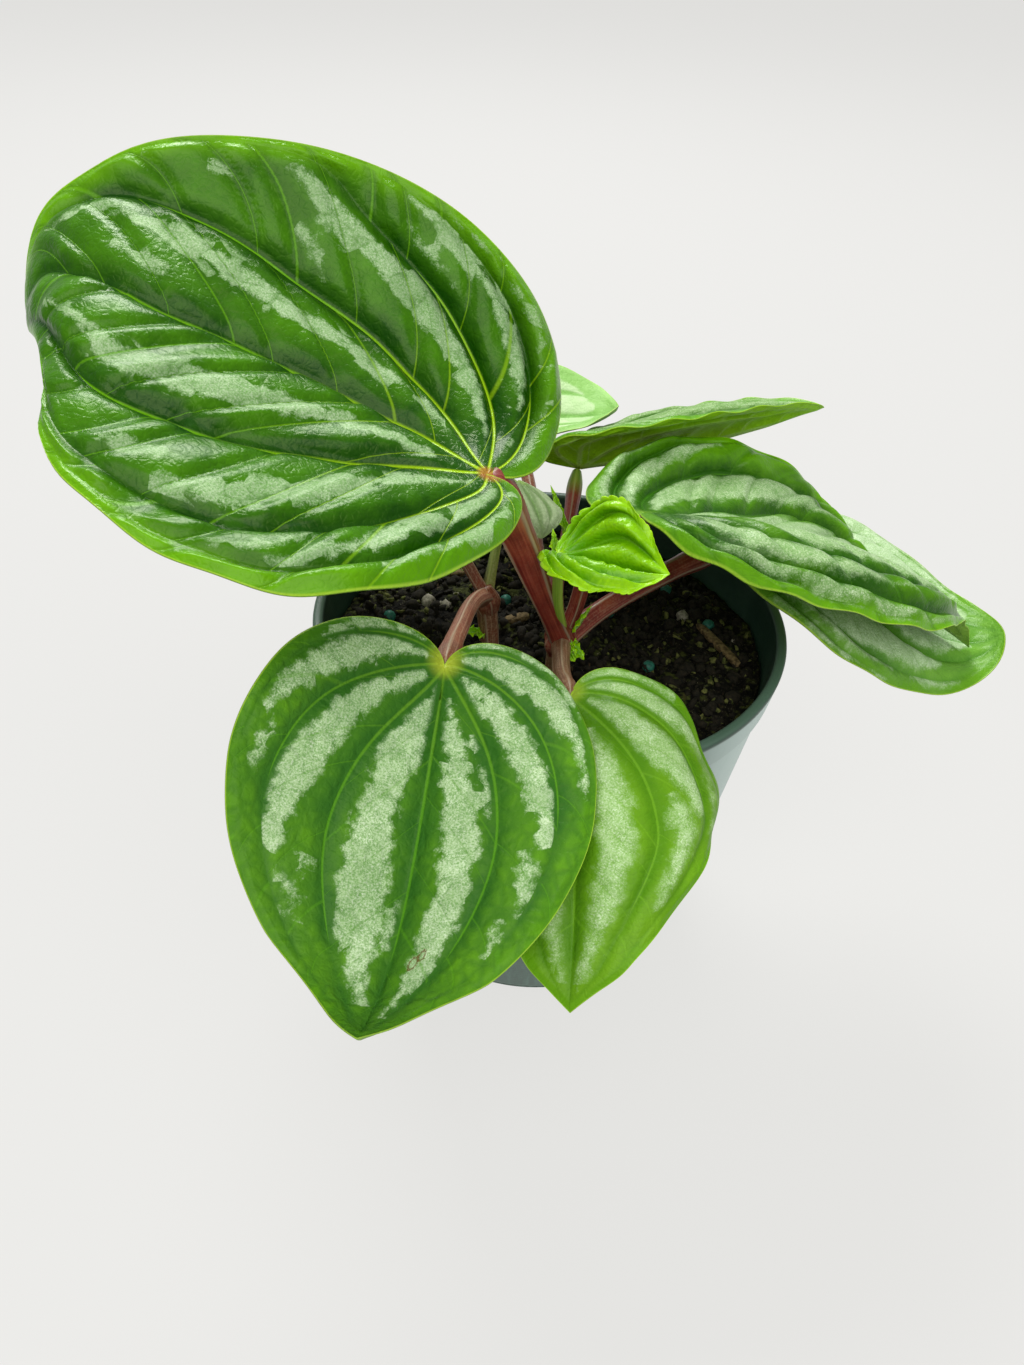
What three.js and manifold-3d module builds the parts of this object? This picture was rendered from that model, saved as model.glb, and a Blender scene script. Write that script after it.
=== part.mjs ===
// A potted peperomia: a striped-leaf plant in a thin-walled plastic nursery pot.
// Millimetres, +Z up. The origin is the centre of the pot's flat underside. Seen from the
// front (looking along +Y), +X is to the right.
import * as THREE from 'three';
import { mergeVertices } from 'three/addons/utils/BufferGeometryUtils.js';
import Module from 'manifold-3d';

const wasm = await Module();
wasm.setup();

// ---------------------------------------------------------------- driving dimensions

const GAP = 0.3; // air left between neighbouring pieces
const deg = THREE.MathUtils.degToRad;

const POT = {
  height: 86,
  rimRadius: 51, // outside of the rim band, at the top
  baseRadius: 38.5,
  wall: 1.3,
  floor: 2,
  lip: 0.5, // cut off the corners of the rim's top
  rimHeight: 9, // the band that stands proud of the wall
  rimProud: 1,
  rimWall: 2.3,
  footHeight: 1.2, // small step above the underside
  footInset: 0.8,
  sides: 40,
  drainHoles: 8,
  drainRadius: 4,
  drainCircle: 26,
};

const SOIL = {
  level: 76.5, // mean height of the top
  lump: 1.3, // height of its lumps
  rings: 7,
  sides: 32,
  holeRadius: 3.4, // plain hole that each stem stands in
  holeDepth: 15,
};

// Loose bits half sunk in the top of the soil: where they lie, their size and their turn.
const WOOD_CHIPS = [
  { at: [38, 1], size: [16, 3, 1.8], turn: -62 },
  { at: [-7, 7], size: [6, 2.4, 1.6], turn: 25 },
  { at: [24, -21], size: [7, 2.2, 1.5], turn: 40 },
  { at: [-32, -8], size: [7, 2.6, 1.6], turn: -30 },
  { at: [-24, 24], size: [8, 2.4, 1.6], turn: 15 },
];
const CHIP_TILT = deg(4);
const PERLITE = [
  { at: [-28, 14], radius: 2 },
  { at: [-24, 12], radius: 1.6 },
  { at: [31, 12], radius: 1.7 },
  { at: [12, 34], radius: 1.8 },
  { at: [-10, 36], radius: 1.6 },
  { at: [18, -32], radius: 1.7 },
];
const FEED_BEADS = [
  [14, 12], [22, -7], [28, 22], [37, 10], [-10, 16], [6, 26], [-20, 33], [-36, 6],
];
const BEAD_RADIUS = 1.5;
const SUNK = 0.35; // a bit's middle lies this share of its radius above the soil

// A blade is drawn flat, then bent. Lengths are in mm, angles in degrees.
//   base        where the stalk meets the blade
//   heading     compass turn of the midrib from +X; pitch: its rise at the base
//   roll, twist tilt of the blade about the midrib at the base, and its change to the tip
//   droop       how far the midrib bends down along its length; tipCurl: only near the tip
//   sweep       sideways bend of the midrib
//   left, right half widths; fold, curl: lift of each half at the midrib, and on to its edge
//   outline     lobes: how far the base lobes reach back; widest: where it is widest;
//               shoulder: how full it stays; tipBack, tipWidth: how the sides run to the tip
const LEAVES = [
  {
    name: 'leaf_upper_left', colour: 0x3f8f2a,
    base: [-13.5, -32, 135], heading: 164, pitch: 15, roll: 1, twist: -25,
    droop: -40, tipCurl: 175, sweep: 20, length: 88.5, left: 46, right: 45,
    foldLeft: -5, foldRight: -5, curlLeft: 15, curlRight: 65,
    lobes: [0.15, 0.15], widest: 0.3, shoulder: 0.35, tipBack: 0.15, tipWidth: 0.25,
    quilt: 1.7, rows: 20, waves: 7, waveHeight: 0.4, thickness: 1,
  },
  {
    name: 'leaf_front_left', colour: 0x6b9a5c,
    base: [-19.5, -41.5, 102], heading: -94, pitch: -28, roll: -10, twist: 15,
    droop: 0, tipCurl: -70, sweep: -5, length: 67.5, left: 29.5, right: 34,
    foldLeft: 20, foldRight: 20, curlLeft: -30, curlRight: 20,
    lobes: [0.15, 0.15], widest: 0.35, shoulder: 0.2, tipBack: 0.1, tipWidth: 0.6,
    quilt: 0.7, rows: 13, waves: 6, waveHeight: 0.2, thickness: 1,
  },
  {
    name: 'leaf_front_right', colour: 0x7fb03a,
    base: [3.5, -38.5, 94], heading: -86, pitch: -9, roll: 14, twist: 10,
    droop: 50, tipCurl: -35, sweep: -5, length: 57, left: 30.5, right: 26,
    foldLeft: 10, foldRight: 14, curlLeft: -85, curlRight: -15,
    lobes: [0.2, 0.2], widest: 0.3, shoulder: 0.15, tipBack: 0.15, tipWidth: 0.3,
    quilt: 0.6, rows: 13, waves: 6, waveHeight: 0.2, thickness: 1,
  },
  {
    name: 'leaf_right', colour: 0x4f9136,
    base: [17, -10, 116], heading: 8, pitch: -7, roll: -29, twist: 0,
    droop: 40, tipCurl: 0, sweep: 0, length: 86, left: 40, right: 28.5,
    foldLeft: 5, foldRight: 10, curlLeft: 55, curlRight: -65,
    lobes: [0.35, 0.08], widest: 0.35, shoulder: 0.4, tipBack: 0.35, tipWidth: 0.5,
    quilt: 1.5, rows: 15, waves: 9, waveHeight: 0.6, thickness: 1,
  },
  {
    name: 'leaf_right_under', colour: 0x79a85e,
    base: [37.5, 14.1, 95.3], heading: -8, pitch: 0, roll: -27, twist: 35,
    droop: 65, tipCurl: -135, sweep: -5, length: 68.5, left: 37.5, right: 32,
    foldLeft: 0, foldRight: 5, curlLeft: 15, curlRight: -30,
    lobes: [0.05, 0.05], widest: 0.35, shoulder: 0.2, tipBack: 0, tipWidth: 0.4,
    quilt: 1, rows: 13, waves: 6, waveHeight: 0.3, thickness: 1,
  },
  {
    name: 'leaf_back_right', colour: 0x4c8a1c,
    base: [5, 34.2, 101.8], heading: 6, pitch: 13, roll: -19, twist: 10,
    droop: -10, tipCurl: 10, sweep: 0, length: 57.5, left: 22.5, right: 23.5,
    foldLeft: 25, foldRight: 40, curlLeft: -25, curlRight: -30,
    lobes: [0.15, 0.15], widest: 0.3, shoulder: 0.1, tipBack: 0.05, tipWidth: 0.3,
    quilt: 0.8, rows: 13, waves: 8, waveHeight: 0.4, thickness: 0.9,
  },
  {
    name: 'leaf_small_centre', colour: 0x9fb49a,
    base: [-8.5, 14, 108.5], heading: -66, pitch: 2, roll: -22, twist: 10,
    droop: 30, tipCurl: 55, sweep: -5, length: 17, left: 8, right: 6,
    foldLeft: -5, foldRight: 5, curlLeft: -5, curlRight: -15,
    lobes: [0.25, 0.25], widest: 0.4, shoulder: 0.3, tipBack: 0.05, tipWidth: 0.45,
    quilt: 0.3, rows: 9, waves: 4, waveHeight: 0.1, thickness: 0.8,
  },
  {
    name: 'leaf_new', colour: 0x8fd010,
    base: [0, -23, 114.5], heading: -29, pitch: 7, roll: -29, twist: 35,
    droop: 10, tipCurl: -25, sweep: 15, length: 21, left: 12.5, right: 9.5,
    foldLeft: 45, foldRight: 15, curlLeft: 50, curlRight: -45,
    lobes: [0.2, 0.2], widest: 0.3, shoulder: 0.25, tipBack: 0.1, tipWidth: 0.35,
    quilt: 0.5, rows: 17, waves: 8, waveHeight: 0.5, thickness: 0.8,
  },
  {
    name: 'leaf_back', colour: 0xa9cf92,
    base: [-12.5, 51.5, 104.5], heading: 10, pitch: 3, roll: 18, twist: -25,
    droop: 5, tipCurl: -65, sweep: -15, length: 28.5, left: 17.5, right: 14,
    foldLeft: 20, foldRight: 15, curlLeft: -5, curlRight: 10,
    lobes: [0.35, 0.35], widest: 0.35, shoulder: 0.35, tipBack: 0.05, tipWidth: 0.55,
    quilt: 0.4, rows: 11, waves: 4, waveHeight: 0.2, thickness: 0.9,
  },
  {
    name: 'leaf_left_under', colour: 0x7ea32f,
    base: [-21, 4, 98], heading: 150, pitch: 25, roll: 5, twist: 0,
    droop: 35, tipCurl: 0, sweep: 0, length: 40, left: 17, right: 18,
    foldLeft: 10, foldRight: 10, curlLeft: -20, curlRight: -20,
    lobes: [0.25, 0.25], widest: 0.35, shoulder: 0.3, tipBack: 0.1, tipWidth: 0.45,
    quilt: 0.7, rows: 11, waves: 5, waveHeight: 0.2, thickness: 0.9,
  },
];

// What all blades share. The first half of a side's outline rises to its widest place from a
// handle that lies this share of the way back to the far end of the lobes; the midrib is
// worked out in steps from behind the base to past the tip; its droop and its tip curl grow
// with powers of the distance; the relief fades in from the base and out to the tip.
const OUTLINE = { lobeRise: 0.1, handle: 0.62, back: 0.35 };
const MIDRIB = { from: -0.6, to: 1.15, steps: 120, droopPower: 1.3, curlPower: 6 };
const RELIEF_FADE = { base: 0.25, tip: 0.75 };
const WAVE_POWER = 6; // waves stay near the edge

// Three veins on each side of the midrib leave the base close together and spread. The
// numbers are shares of the way from the midrib to the edge, at the base and further on.
const VEINS = [[0.16, 0.47], [0.5, 0.79], [0.76, 0.95]];
const VEIN_SPREAD = 4; // power with which they reach their full share

// Each shoot is a short stem in the soil with its fleshy leaf stalks. A stalk runs from the
// crown through its points to its blade, and swells from one radius to the other.
const SHOOTS = [
  {
    name: 'right_shoot', colour: 0x8a3a3a,
    foot: [2, -11], crown: [2.5, -11, 86], stemRadius: 2.6,
    stalks: [
      { leaf: 'leaf_upper_left', via: [[-2, -17, 100], [-9, -26.5, 123]], radii: [1.8, 2.9] },
      { leaf: 'leaf_right', via: [[4.5, -9.5, 92], [7, -9, 103]], radii: [1.7, 1.9] },
      { leaf: 'leaf_back_right', via: [[1, -2.5, 90], [3, 14, 96]], radii: [1.6, 2] },
      { leaf: 'leaf_right_under', via: [[10.5, -4, 89], [25, 6, 93]], radii: [2, 2] },
      { leaf: 'leaf_front_right', via: [[2.2, -18, 88], [2.2, -27, 90]], radii: [2, 1.8] },
      { leaf: 'leaf_back', via: [[-3, 11.5, 92.5], [-7, 35.5, 100]], radii: [1.4, 1.5] },
    ],
  },
  {
    name: 'left_shoot', colour: 0x7a4236,
    foot: [-13, 1], crown: [-14, 1.5, 87], stemRadius: 2.3,
    stalks: [
      { leaf: 'leaf_front_left', via: [[-15.5, -3, 89.5], [-18.5, -24, 96]], radii: [1.9, 1.9] },
      { leaf: 'leaf_small_centre', via: [[-12.5, 6.5, 96], [-11, 11, 103.5]], radii: [1.3, 1] },
      { leaf: 'leaf_left_under', via: [[-16, 1.8, 90.5], [-18.5, 2.8, 94.5]], radii: [1.6, 1.5] },
    ],
  },
];
const STALK = { sides: 12, rings: 6, ribs: 4, ribDepth: 0.1 }; // ribDepth is a share of the radius

// The newest leaf stands on a green stalk of its own.
const YOUNG_STALK = {
  name: 'young_shoot', colour: 0x9dbb1c,
  leaf: 'leaf_new',
  path: [[4.2, -15.4, 91.3], [1.2, -18.9, 101], [0.3, -21, 108]],
  radii: [1.1, 0.9],
};

// Small leaf buds on the crowns.
const BUDS = [
  {
    name: 'bud_right_crown', colour: 0x7fae22,
    base: [4.6, -12.6, 85.2], heading: -20, pitch: 15, length: 6,
  },
  {
    name: 'bud_left_crown', colour: 0x6f9c2a,
    base: [-15, -0.8, 80.8], heading: -130, pitch: 50, length: 5,
  },
];
const BUD_SHAPE = {
  slimness: 0.4, // half width as a share of the length
  roll: 0, twist: 0, droop: 40, tipCurl: 0, sweep: 0, foldLeft: 30, foldRight: 30,
  curlLeft: -10, curlRight: -10, lobes: [0.1, 0.1], widest: 0.35, shoulder: 0.25, tipBack: 0.1,
  tipWidth: 0.4, quilt: 0.1, rows: 7, waves: 3, waveHeight: 0.1, thickness: 0.8,
};

const FINISH = {
  pot: { color: 0x24402f, roughness: 0.45, metalness: 0 },
  soil: { color: 0x1d1712, roughness: 1, metalness: 0 },
  leaf: { roughness: 0.35, metalness: 0 },
  stalk: { roughness: 0.45, metalness: 0 },
};

// ---------------------------------------------------------------- solids and meshes

function toSolid(geometry) {
  const bare = geometry.index ? geometry.clone() : geometry;
  bare.deleteAttribute('normal');
  bare.deleteAttribute('uv');
  const merged = mergeVertices(bare, 1e-4);
  return new wasm.Manifold(new wasm.Mesh({
    numProp: 3,
    vertProperties: new Float32Array(merged.attributes.position.array),
    triVerts: new Uint32Array(merged.index.array),
  }));
}

function toGeometry(solid) {
  const mesh = solid.getMesh();
  const geometry = new THREE.BufferGeometry();
  geometry.setAttribute('position', new THREE.BufferAttribute(mesh.vertProperties, 3));
  geometry.setIndex(new THREE.BufferAttribute(mesh.triVerts, 1));
  geometry.computeVertexNormals();
  return geometry;
}

function indexed(points, faces) {
  const geometry = new THREE.BufferGeometry().setFromPoints(points);
  geometry.setIndex(faces);
  return geometry;
}

function largestBody(solid) {
  return solid.decompose().reduce((a, b) => (a.volume() > b.volume() ? a : b));
}

function addMesh(group, name, geometry, finish) {
  const mesh = new THREE.Mesh(geometry, new THREE.MeshStandardMaterial(finish));
  mesh.name = name;
  group.add(mesh);
}

// ---------------------------------------------------------------- pot and soil

function wallRadius(z) {
  const top = POT.rimRadius - POT.rimProud;
  return THREE.MathUtils.lerp(POT.baseRadius, top, z / POT.height);
}

function potSolid() {
  const rimFoot = POT.height - POT.rimHeight;
  const outline = [
    [0, 0],
    [POT.baseRadius - POT.footInset, 0],
    [POT.baseRadius - POT.footInset, POT.footHeight],
    [POT.baseRadius, POT.footHeight + POT.footInset],
    [wallRadius(rimFoot), rimFoot],
    [wallRadius(rimFoot) + POT.rimProud, rimFoot + POT.rimProud],
    [POT.rimRadius, POT.height - POT.lip],
    [POT.rimRadius - POT.lip, POT.height],
    [POT.rimRadius - POT.rimWall + POT.lip, POT.height],
    [POT.rimRadius - POT.rimWall, POT.height - POT.lip],
    [wallRadius(rimFoot) - POT.wall, rimFoot],
    [wallRadius(POT.floor) - POT.wall, POT.floor],
    [0, POT.floor],
  ].map(([r, z]) => new THREE.Vector2(r, z));
  let pot = toSolid(new THREE.LatheGeometry(outline, POT.sides).rotateX(Math.PI / 2));
  for (let i = 0; i < POT.drainHoles; i += 1) {
    const turn = (2 * Math.PI * i) / POT.drainHoles;
    const hole = new THREE.CylinderGeometry(POT.drainRadius, POT.drainRadius, 3 * POT.floor, 12);
    hole.rotateX(Math.PI / 2);
    hole.translate(POT.drainCircle * Math.cos(turn), POT.drainCircle * Math.sin(turn), POT.floor);
    pot = pot.subtract(toSolid(hole));
  }
  return pot;
}

// Height of the soil's top: three crossing waves of different lengths.
function soilTop(x, y) {
  const broad = Math.sin(x / 7 + 1.3) * Math.cos(y / 8.5);
  const fine = Math.sin(x / 2.9 - y / 3.7) + Math.cos(x / 3.3 + y / 2.6 + 0.7);
  return SOIL.level + SOIL.lump * (0.5 * broad + 0.25 * fine);
}

function soilBody() {
  const points = [new THREE.Vector3(0, 0, POT.floor + GAP), new THREE.Vector3(0, 0, soilTop(0, 0))];
  const ring = (radius, height) => {
    for (let j = 0; j < SOIL.sides; j += 1) {
      const turn = (2 * Math.PI * j) / SOIL.sides;
      const [x, y] = [radius * Math.cos(turn), radius * Math.sin(turn)];
      points.push(new THREE.Vector3(x, y, height(x, y)));
    }
  };
  const lift = Math.cos(Math.PI / POT.sides); // the pot's flats lie inside its circle
  const bottomRadius = (wallRadius(POT.floor) - POT.wall) * lift - 2 * GAP;
  const topRadius = (wallRadius(SOIL.level - 2 * SOIL.lump) - POT.wall) * lift - 2 * GAP;
  ring(bottomRadius, () => POT.floor + GAP);
  for (let i = SOIL.rings; i > 0; i -= 1) ring((topRadius * i) / SOIL.rings, soilTop);
  const at = (i, j) => 2 + i * SOIL.sides + (j % SOIL.sides);
  const faces = [];
  for (let j = 0; j < SOIL.sides; j += 1) {
    faces.push(0, at(0, j + 1), at(0, j));
    for (let i = 0; i < SOIL.rings; i += 1) {
      faces.push(at(i, j), at(i, j + 1), at(i + 1, j + 1), at(i, j), at(i + 1, j + 1), at(i + 1, j));
    }
    faces.push(at(SOIL.rings, j), at(SOIL.rings, j + 1), 1);
  }
  return toSolid(indexed(points, faces));
}

function soilSolid() {
  let soil = soilBody();
  for (const { at: [x, y], size, turn } of WOOD_CHIPS) {
    const chip = new THREE.BoxGeometry(...size).rotateY(CHIP_TILT).rotateZ(deg(turn));
    soil = soil.add(toSolid(chip.translate(x, y, soilTop(x, y) + 0.5 * SUNK * size[2])));
  }
  for (const { at: [x, y], radius } of PERLITE) {
    const crumb = new THREE.DodecahedronGeometry(radius, 0).rotateX(x).rotateY(y);
    soil = soil.add(toSolid(crumb.translate(x, y, soilTop(x, y) + SUNK * radius)));
  }
  for (const [x, y] of FEED_BEADS) {
    const bead = new THREE.IcosahedronGeometry(BEAD_RADIUS, 0);
    soil = soil.add(toSolid(bead.translate(x, y, soilTop(x, y) + SUNK * BEAD_RADIUS)));
  }
  for (const { foot: [x, y] } of SHOOTS) {
    const height = 2 * SOIL.holeDepth;
    const hole = new THREE.CylinderGeometry(SOIL.holeRadius, SOIL.holeRadius, height, 16);
    soil = soil.subtract(toSolid(hole.rotateX(Math.PI / 2).translate(x, y, SOIL.level)));
  }
  return largestBody(soil);
}

// ---------------------------------------------------------------- blades

// One side of the flat outline, as points evenly spaced along it from the base to the tip.
function halfOutline(leaf, halfWidth, lobe) {
  const { widest, shoulder, tipBack, tipWidth, length } = leaf;
  const p = (x, y) => new THREE.Vector2(x * length, y * halfWidth);
  const path = new THREE.CurvePath();
  const rise = widest - OUTLINE.handle * (widest + OUTLINE.back);
  path.add(new THREE.CubicBezierCurve(
    p(0, 0), p(-lobe, OUTLINE.lobeRise), p(rise, 1), p(widest, 1),
  ));
  path.add(new THREE.CubicBezierCurve(
    p(widest, 1), p(widest + shoulder, 1), p(1 - tipBack, tipWidth), p(1, 0),
  ));
  return path;
}

// The midrib as a table of places: it leaves the base over +X at the pitch, and its slope
// falls by droop and, near the tip, by tipCurl.
function midrib(leaf) {
  const { steps, droopPower, curlPower } = MIDRIB;
  const from = MIDRIB.from * leaf.length;
  const step = ((MIDRIB.to - MIDRIB.from) * leaf.length) / steps;
  const slope = (x) => {
    const u = Math.max(x / leaf.length, 0);
    return deg(leaf.pitch) - deg(leaf.droop) * u ** droopPower - deg(leaf.tipCurl) * u ** curlPower;
  };
  const turn = (x) => deg(leaf.sweep) * Math.max(x / leaf.length, 0);
  const run = (x) => new THREE.Vector3(
    Math.cos(slope(x)) * Math.cos(turn(x)),
    Math.cos(slope(x)) * Math.sin(turn(x)),
    Math.sin(slope(x)),
  );
  const places = [new THREE.Vector3()];
  for (let i = 1; i <= steps; i += 1) {
    places.push(places[i - 1].clone().addScaledVector(run(from + (i - 0.5) * step), step));
  }
  const at = (x) => {
    const s = THREE.MathUtils.clamp((x - from) / step, 0, steps);
    const i = Math.min(Math.floor(s), steps - 1);
    return places[i].clone().lerp(places[i + 1], s - i);
  };
  const origin = at(0);
  return (x) => ({ place: at(x).sub(origin), along: run(x), turn: turn(x) });
}

// A blade's middle surface: across runs from -1 at the right edge to 1 at the left edge,
// and along from 0 at the base to 1 at the tip.
function bladeSurface(leaf) {
  const [leftLobe, rightLobe] = leaf.lobes;
  const outlines = [
    halfOutline(leaf, leaf.left, leftLobe), halfOutline(leaf, leaf.right, rightLobe),
  ];
  const rib = midrib(leaf);
  const base = new THREE.Vector3(...leaf.base);
  return (across, along) => {
    const isLeft = across >= 0;
    const w = Math.abs(across);
    const edge = outlines[isLeft ? 0 : 1].getPointAt(along);
    const edgeAngle = along > 0 ? Math.atan2(edge.y, edge.x) : Math.PI;
    const r = (1 - w) * leaf.length * along + w * edge.length();
    const x = r * Math.cos(edgeAngle * w);
    const y = r * Math.sin(edgeAngle * w);
    const { place, along: t, turn } = rib(x);
    const tilt = deg(leaf.roll) + (deg(leaf.twist) * x) / leaf.length;
    const level = new THREE.Vector3(-Math.sin(turn), Math.cos(turn), 0);
    const upright = new THREE.Vector3().crossVectors(t, level);
    const side = level.clone().multiplyScalar(Math.cos(tilt)).addScaledVector(upright, Math.sin(tilt));
    const up = level.clone().multiplyScalar(-Math.sin(tilt)).addScaledVector(upright, Math.cos(tilt));
    const fold = deg(isLeft ? leaf.foldLeft : leaf.foldRight);
    const curl = deg(isLeft ? leaf.curlLeft : leaf.curlRight) || 1e-6;
    const bend = curl / (isLeft ? leaf.left : leaf.right);
    const out = (Math.sin(fold + bend * y) - Math.sin(fold)) / bend;
    const lift = (Math.cos(fold) - Math.cos(fold + bend * y)) / bend;
    place.addScaledVector(side, isLeft ? out : -out).addScaledVector(up, lift);
    return place.applyAxisAngle(new THREE.Vector3(0, 0, 1), deg(leaf.heading)).add(base);
  };
}

// The direction a blade faces, taken a little inside its ends, where its grid closes up.
function bladeNormal(surface, across, along) {
  const e = 1e-3;
  const t = THREE.MathUtils.clamp(along, 0.04, 0.97);
  const v = THREE.MathUtils.clamp(across, -1 + e, 1 - e);
  const ahead = surface(v, t + e).sub(surface(v, t - e));
  const sideways = surface(v + e, t).sub(surface(v - e, t));
  return ahead.cross(sideways).normalize();
}

// Share of the way to the edge at which a vein runs.
function veinAt(k, along) {
  const [start, full] = VEINS[k];
  return full - (full - start) * (1 - along) ** VEIN_SPREAD;
}

// The columns of a blade's grid at one row: the midrib, the veins and the edge, and one
// between each two of them. Swell is 1 where the blade rises and -1 in the veins.
function columns(along) {
  const veins = [0, ...VEINS.map((_, k) => veinAt(k, along))];
  const half = [];
  veins.forEach((v, k) => {
    half.push({ across: v, swell: -1 });
    if (k < veins.length - 1) half.push({ across: (v + veins[k + 1]) / 2, swell: 1 });
  });
  half.push({ across: 1, swell: 0 });
  const mirrored = half.slice(1).reverse().map(({ across, swell }) => ({ across: -across, swell }));
  return [...mirrored, ...half];
}

function bladeGeometry(leaf) {
  const surface = bladeSurface(leaf);
  const count = columns(0.5).length;
  const skin = (half) => {
    const points = [];
    for (let i = 1; i < leaf.rows; i += 1) {
      const along = i / leaf.rows;
      const fade = THREE.MathUtils.smoothstep(along, 0, RELIEF_FADE.base)
        * (1 - THREE.MathUtils.smoothstep(along, RELIEF_FADE.tip, 1));
      const wave = leaf.waveHeight * Math.sin(2 * Math.PI * leaf.waves * along);
      for (const { across, swell } of columns(along)) {
        const relief = 0.5 * leaf.quilt * swell + wave * Math.abs(across) ** WAVE_POWER;
        const normal = bladeNormal(surface, across, along);
        points.push(surface(across, along).addScaledVector(normal, half + relief * fade));
      }
    }
    for (const along of [0, 1]) {
      points.push(surface(0, along).addScaledVector(bladeNormal(surface, 0, along), half));
    }
    return points;
  };
  const top = skin(leaf.thickness / 2);
  const bottom = skin(-leaf.thickness / 2);
  const [baseAt, tipAt] = [top.length - 2, top.length - 1];
  const faces = [];
  const pair = (a, b, c) => {
    faces.push(a, b, c, a + top.length, c + top.length, b + top.length);
  };
  const edge = (a, b) => {
    faces.push(a, a + top.length, b + top.length, a, b + top.length, b);
  };
  const last = (leaf.rows - 2) * count;
  for (let j = 0; j < count - 1; j += 1) {
    pair(baseAt, j, j + 1);
    for (let a = j; a < last; a += count) {
      pair(a, a + count, a + count + 1);
      pair(a, a + count + 1, a + 1);
    }
    pair(last + j, tipAt, last + j + 1);
  }
  const right = [baseAt];
  const left = [baseAt];
  for (let a = 0; a <= last; a += count) {
    right.push(a);
    left.push(a + count - 1);
  }
  right.push(tipAt);
  left.push(tipAt);
  for (let i = 1; i < right.length; i += 1) {
    edge(right[i - 1], right[i]);
    edge(left[i], left[i - 1]);
  }
  return indexed([...top, ...bottom], faces);
}

// ---------------------------------------------------------------- stems and stalks

// A ribbed round rod along a smooth curve, swelling from one radius to the other.
function rod(points, [from, to], ribDepth = STALK.ribDepth) {
  const curve = new THREE.CatmullRomCurve3(points.map((p) => new THREE.Vector3(...p)));
  const frames = curve.computeFrenetFrames(STALK.rings, false);
  const rings = [];
  for (let i = 0; i <= STALK.rings; i += 1) {
    const centre = curve.getPointAt(i / STALK.rings);
    for (let j = 0; j < STALK.sides; j += 1) {
      const turn = (2 * Math.PI * j) / STALK.sides;
      const round = THREE.MathUtils.lerp(from, to, i / STALK.rings);
      const radius = round * (1 + ribDepth * Math.cos(STALK.ribs * turn));
      rings.push(centre.clone()
        .addScaledVector(frames.normals[i], radius * Math.cos(turn))
        .addScaledVector(frames.binormals[i], radius * Math.sin(turn)));
    }
  }
  const ends = [curve.getPointAt(0), curve.getPointAt(1)];
  const [startAt, endAt] = [rings.length, rings.length + 1];
  const at = (i, j) => i * STALK.sides + (j % STALK.sides);
  const faces = [];
  for (let j = 0; j < STALK.sides; j += 1) {
    faces.push(startAt, at(0, j + 1), at(0, j), endAt, at(STALK.rings, j), at(STALK.rings, j + 1));
    for (let i = 0; i < STALK.rings; i += 1) {
      faces.push(at(i, j), at(i, j + 1), at(i + 1, j + 1), at(i, j), at(i + 1, j + 1), at(i + 1, j));
    }
  }
  return toSolid(indexed([...rings, ...ends], faces));
}

// What is left of a solid once each of its neighbours has its air gap on all sides.
function clearOf(solid, neighbours) {
  const shifts = [-GAP, 0, GAP];
  let rest = solid;
  for (const near of neighbours) {
    for (const x of shifts) {
      for (const y of shifts) {
        for (const z of shifts) rest = rest.subtract(near.translate([x, y, z]));
      }
    }
  }
  return largestBody(rest);
}

function shootSolid(shoot) {
  const [x, y] = shoot.foot;
  const bottom = [x, y, SOIL.level - SOIL.holeDepth + GAP];
  const stemRadii = [shoot.stemRadius, shoot.stemRadius];
  let solid = rod([bottom, [x, y, SOIL.level], shoot.crown], stemRadii);
  for (const { leaf, via, radii } of shoot.stalks) {
    const { base } = LEAVES.find(({ name }) => name === leaf);
    solid = solid.add(rod([shoot.crown, ...via, base], radii));
  }
  return solid;
}

// ---------------------------------------------------------------- assembly

const group = new THREE.Group();
addMesh(group, 'pot', toGeometry(potSolid()), FINISH.pot);
addMesh(group, 'soil', toGeometry(soilSolid()), FINISH.soil);

const blades = [];
for (const leaf of LEAVES) {
  const geometry = bladeGeometry(leaf);
  addMesh(group, leaf.name, geometry, { ...FINISH.leaf, color: leaf.colour });
  blades.push(toSolid(geometry.clone()));
}

const shoots = SHOOTS.map((shoot) => clearOf(shootSolid(shoot), blades));
SHOOTS.forEach((shoot, i) => {
  addMesh(group, shoot.name, toGeometry(shoots[i]), { ...FINISH.stalk, color: shoot.colour });
});

const young = LEAVES.find(({ name }) => name === YOUNG_STALK.leaf);
const youngRod = rod([...YOUNG_STALK.path, young.base], YOUNG_STALK.radii);
const youngSolid = clearOf(youngRod, [...blades, ...shoots]);
addMesh(group, YOUNG_STALK.name, toGeometry(youngSolid), { ...FINISH.stalk, color: YOUNG_STALK.colour });

for (const { name, colour, ...place } of BUDS) {
  const halfWidth = BUD_SHAPE.slimness * place.length;
  const bud = { ...BUD_SHAPE, ...place, left: halfWidth, right: halfWidth };
  const solid = clearOf(toSolid(bladeGeometry(bud)), shoots);
  addMesh(group, name, toGeometry(solid), { ...FINISH.leaf, color: colour });
}

export default group;
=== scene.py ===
"""A potted peperomia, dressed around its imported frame.

The file is laid out as an add-on with a panel, and is run as a script. Sizes are written in
millimetres, as in the part's source, and turned into metres where a mesh is made.
"""
import math
from dataclasses import dataclass, replace

import bmesh
import bpy
import numpy as np
from mathutils import Matrix, Vector


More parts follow.
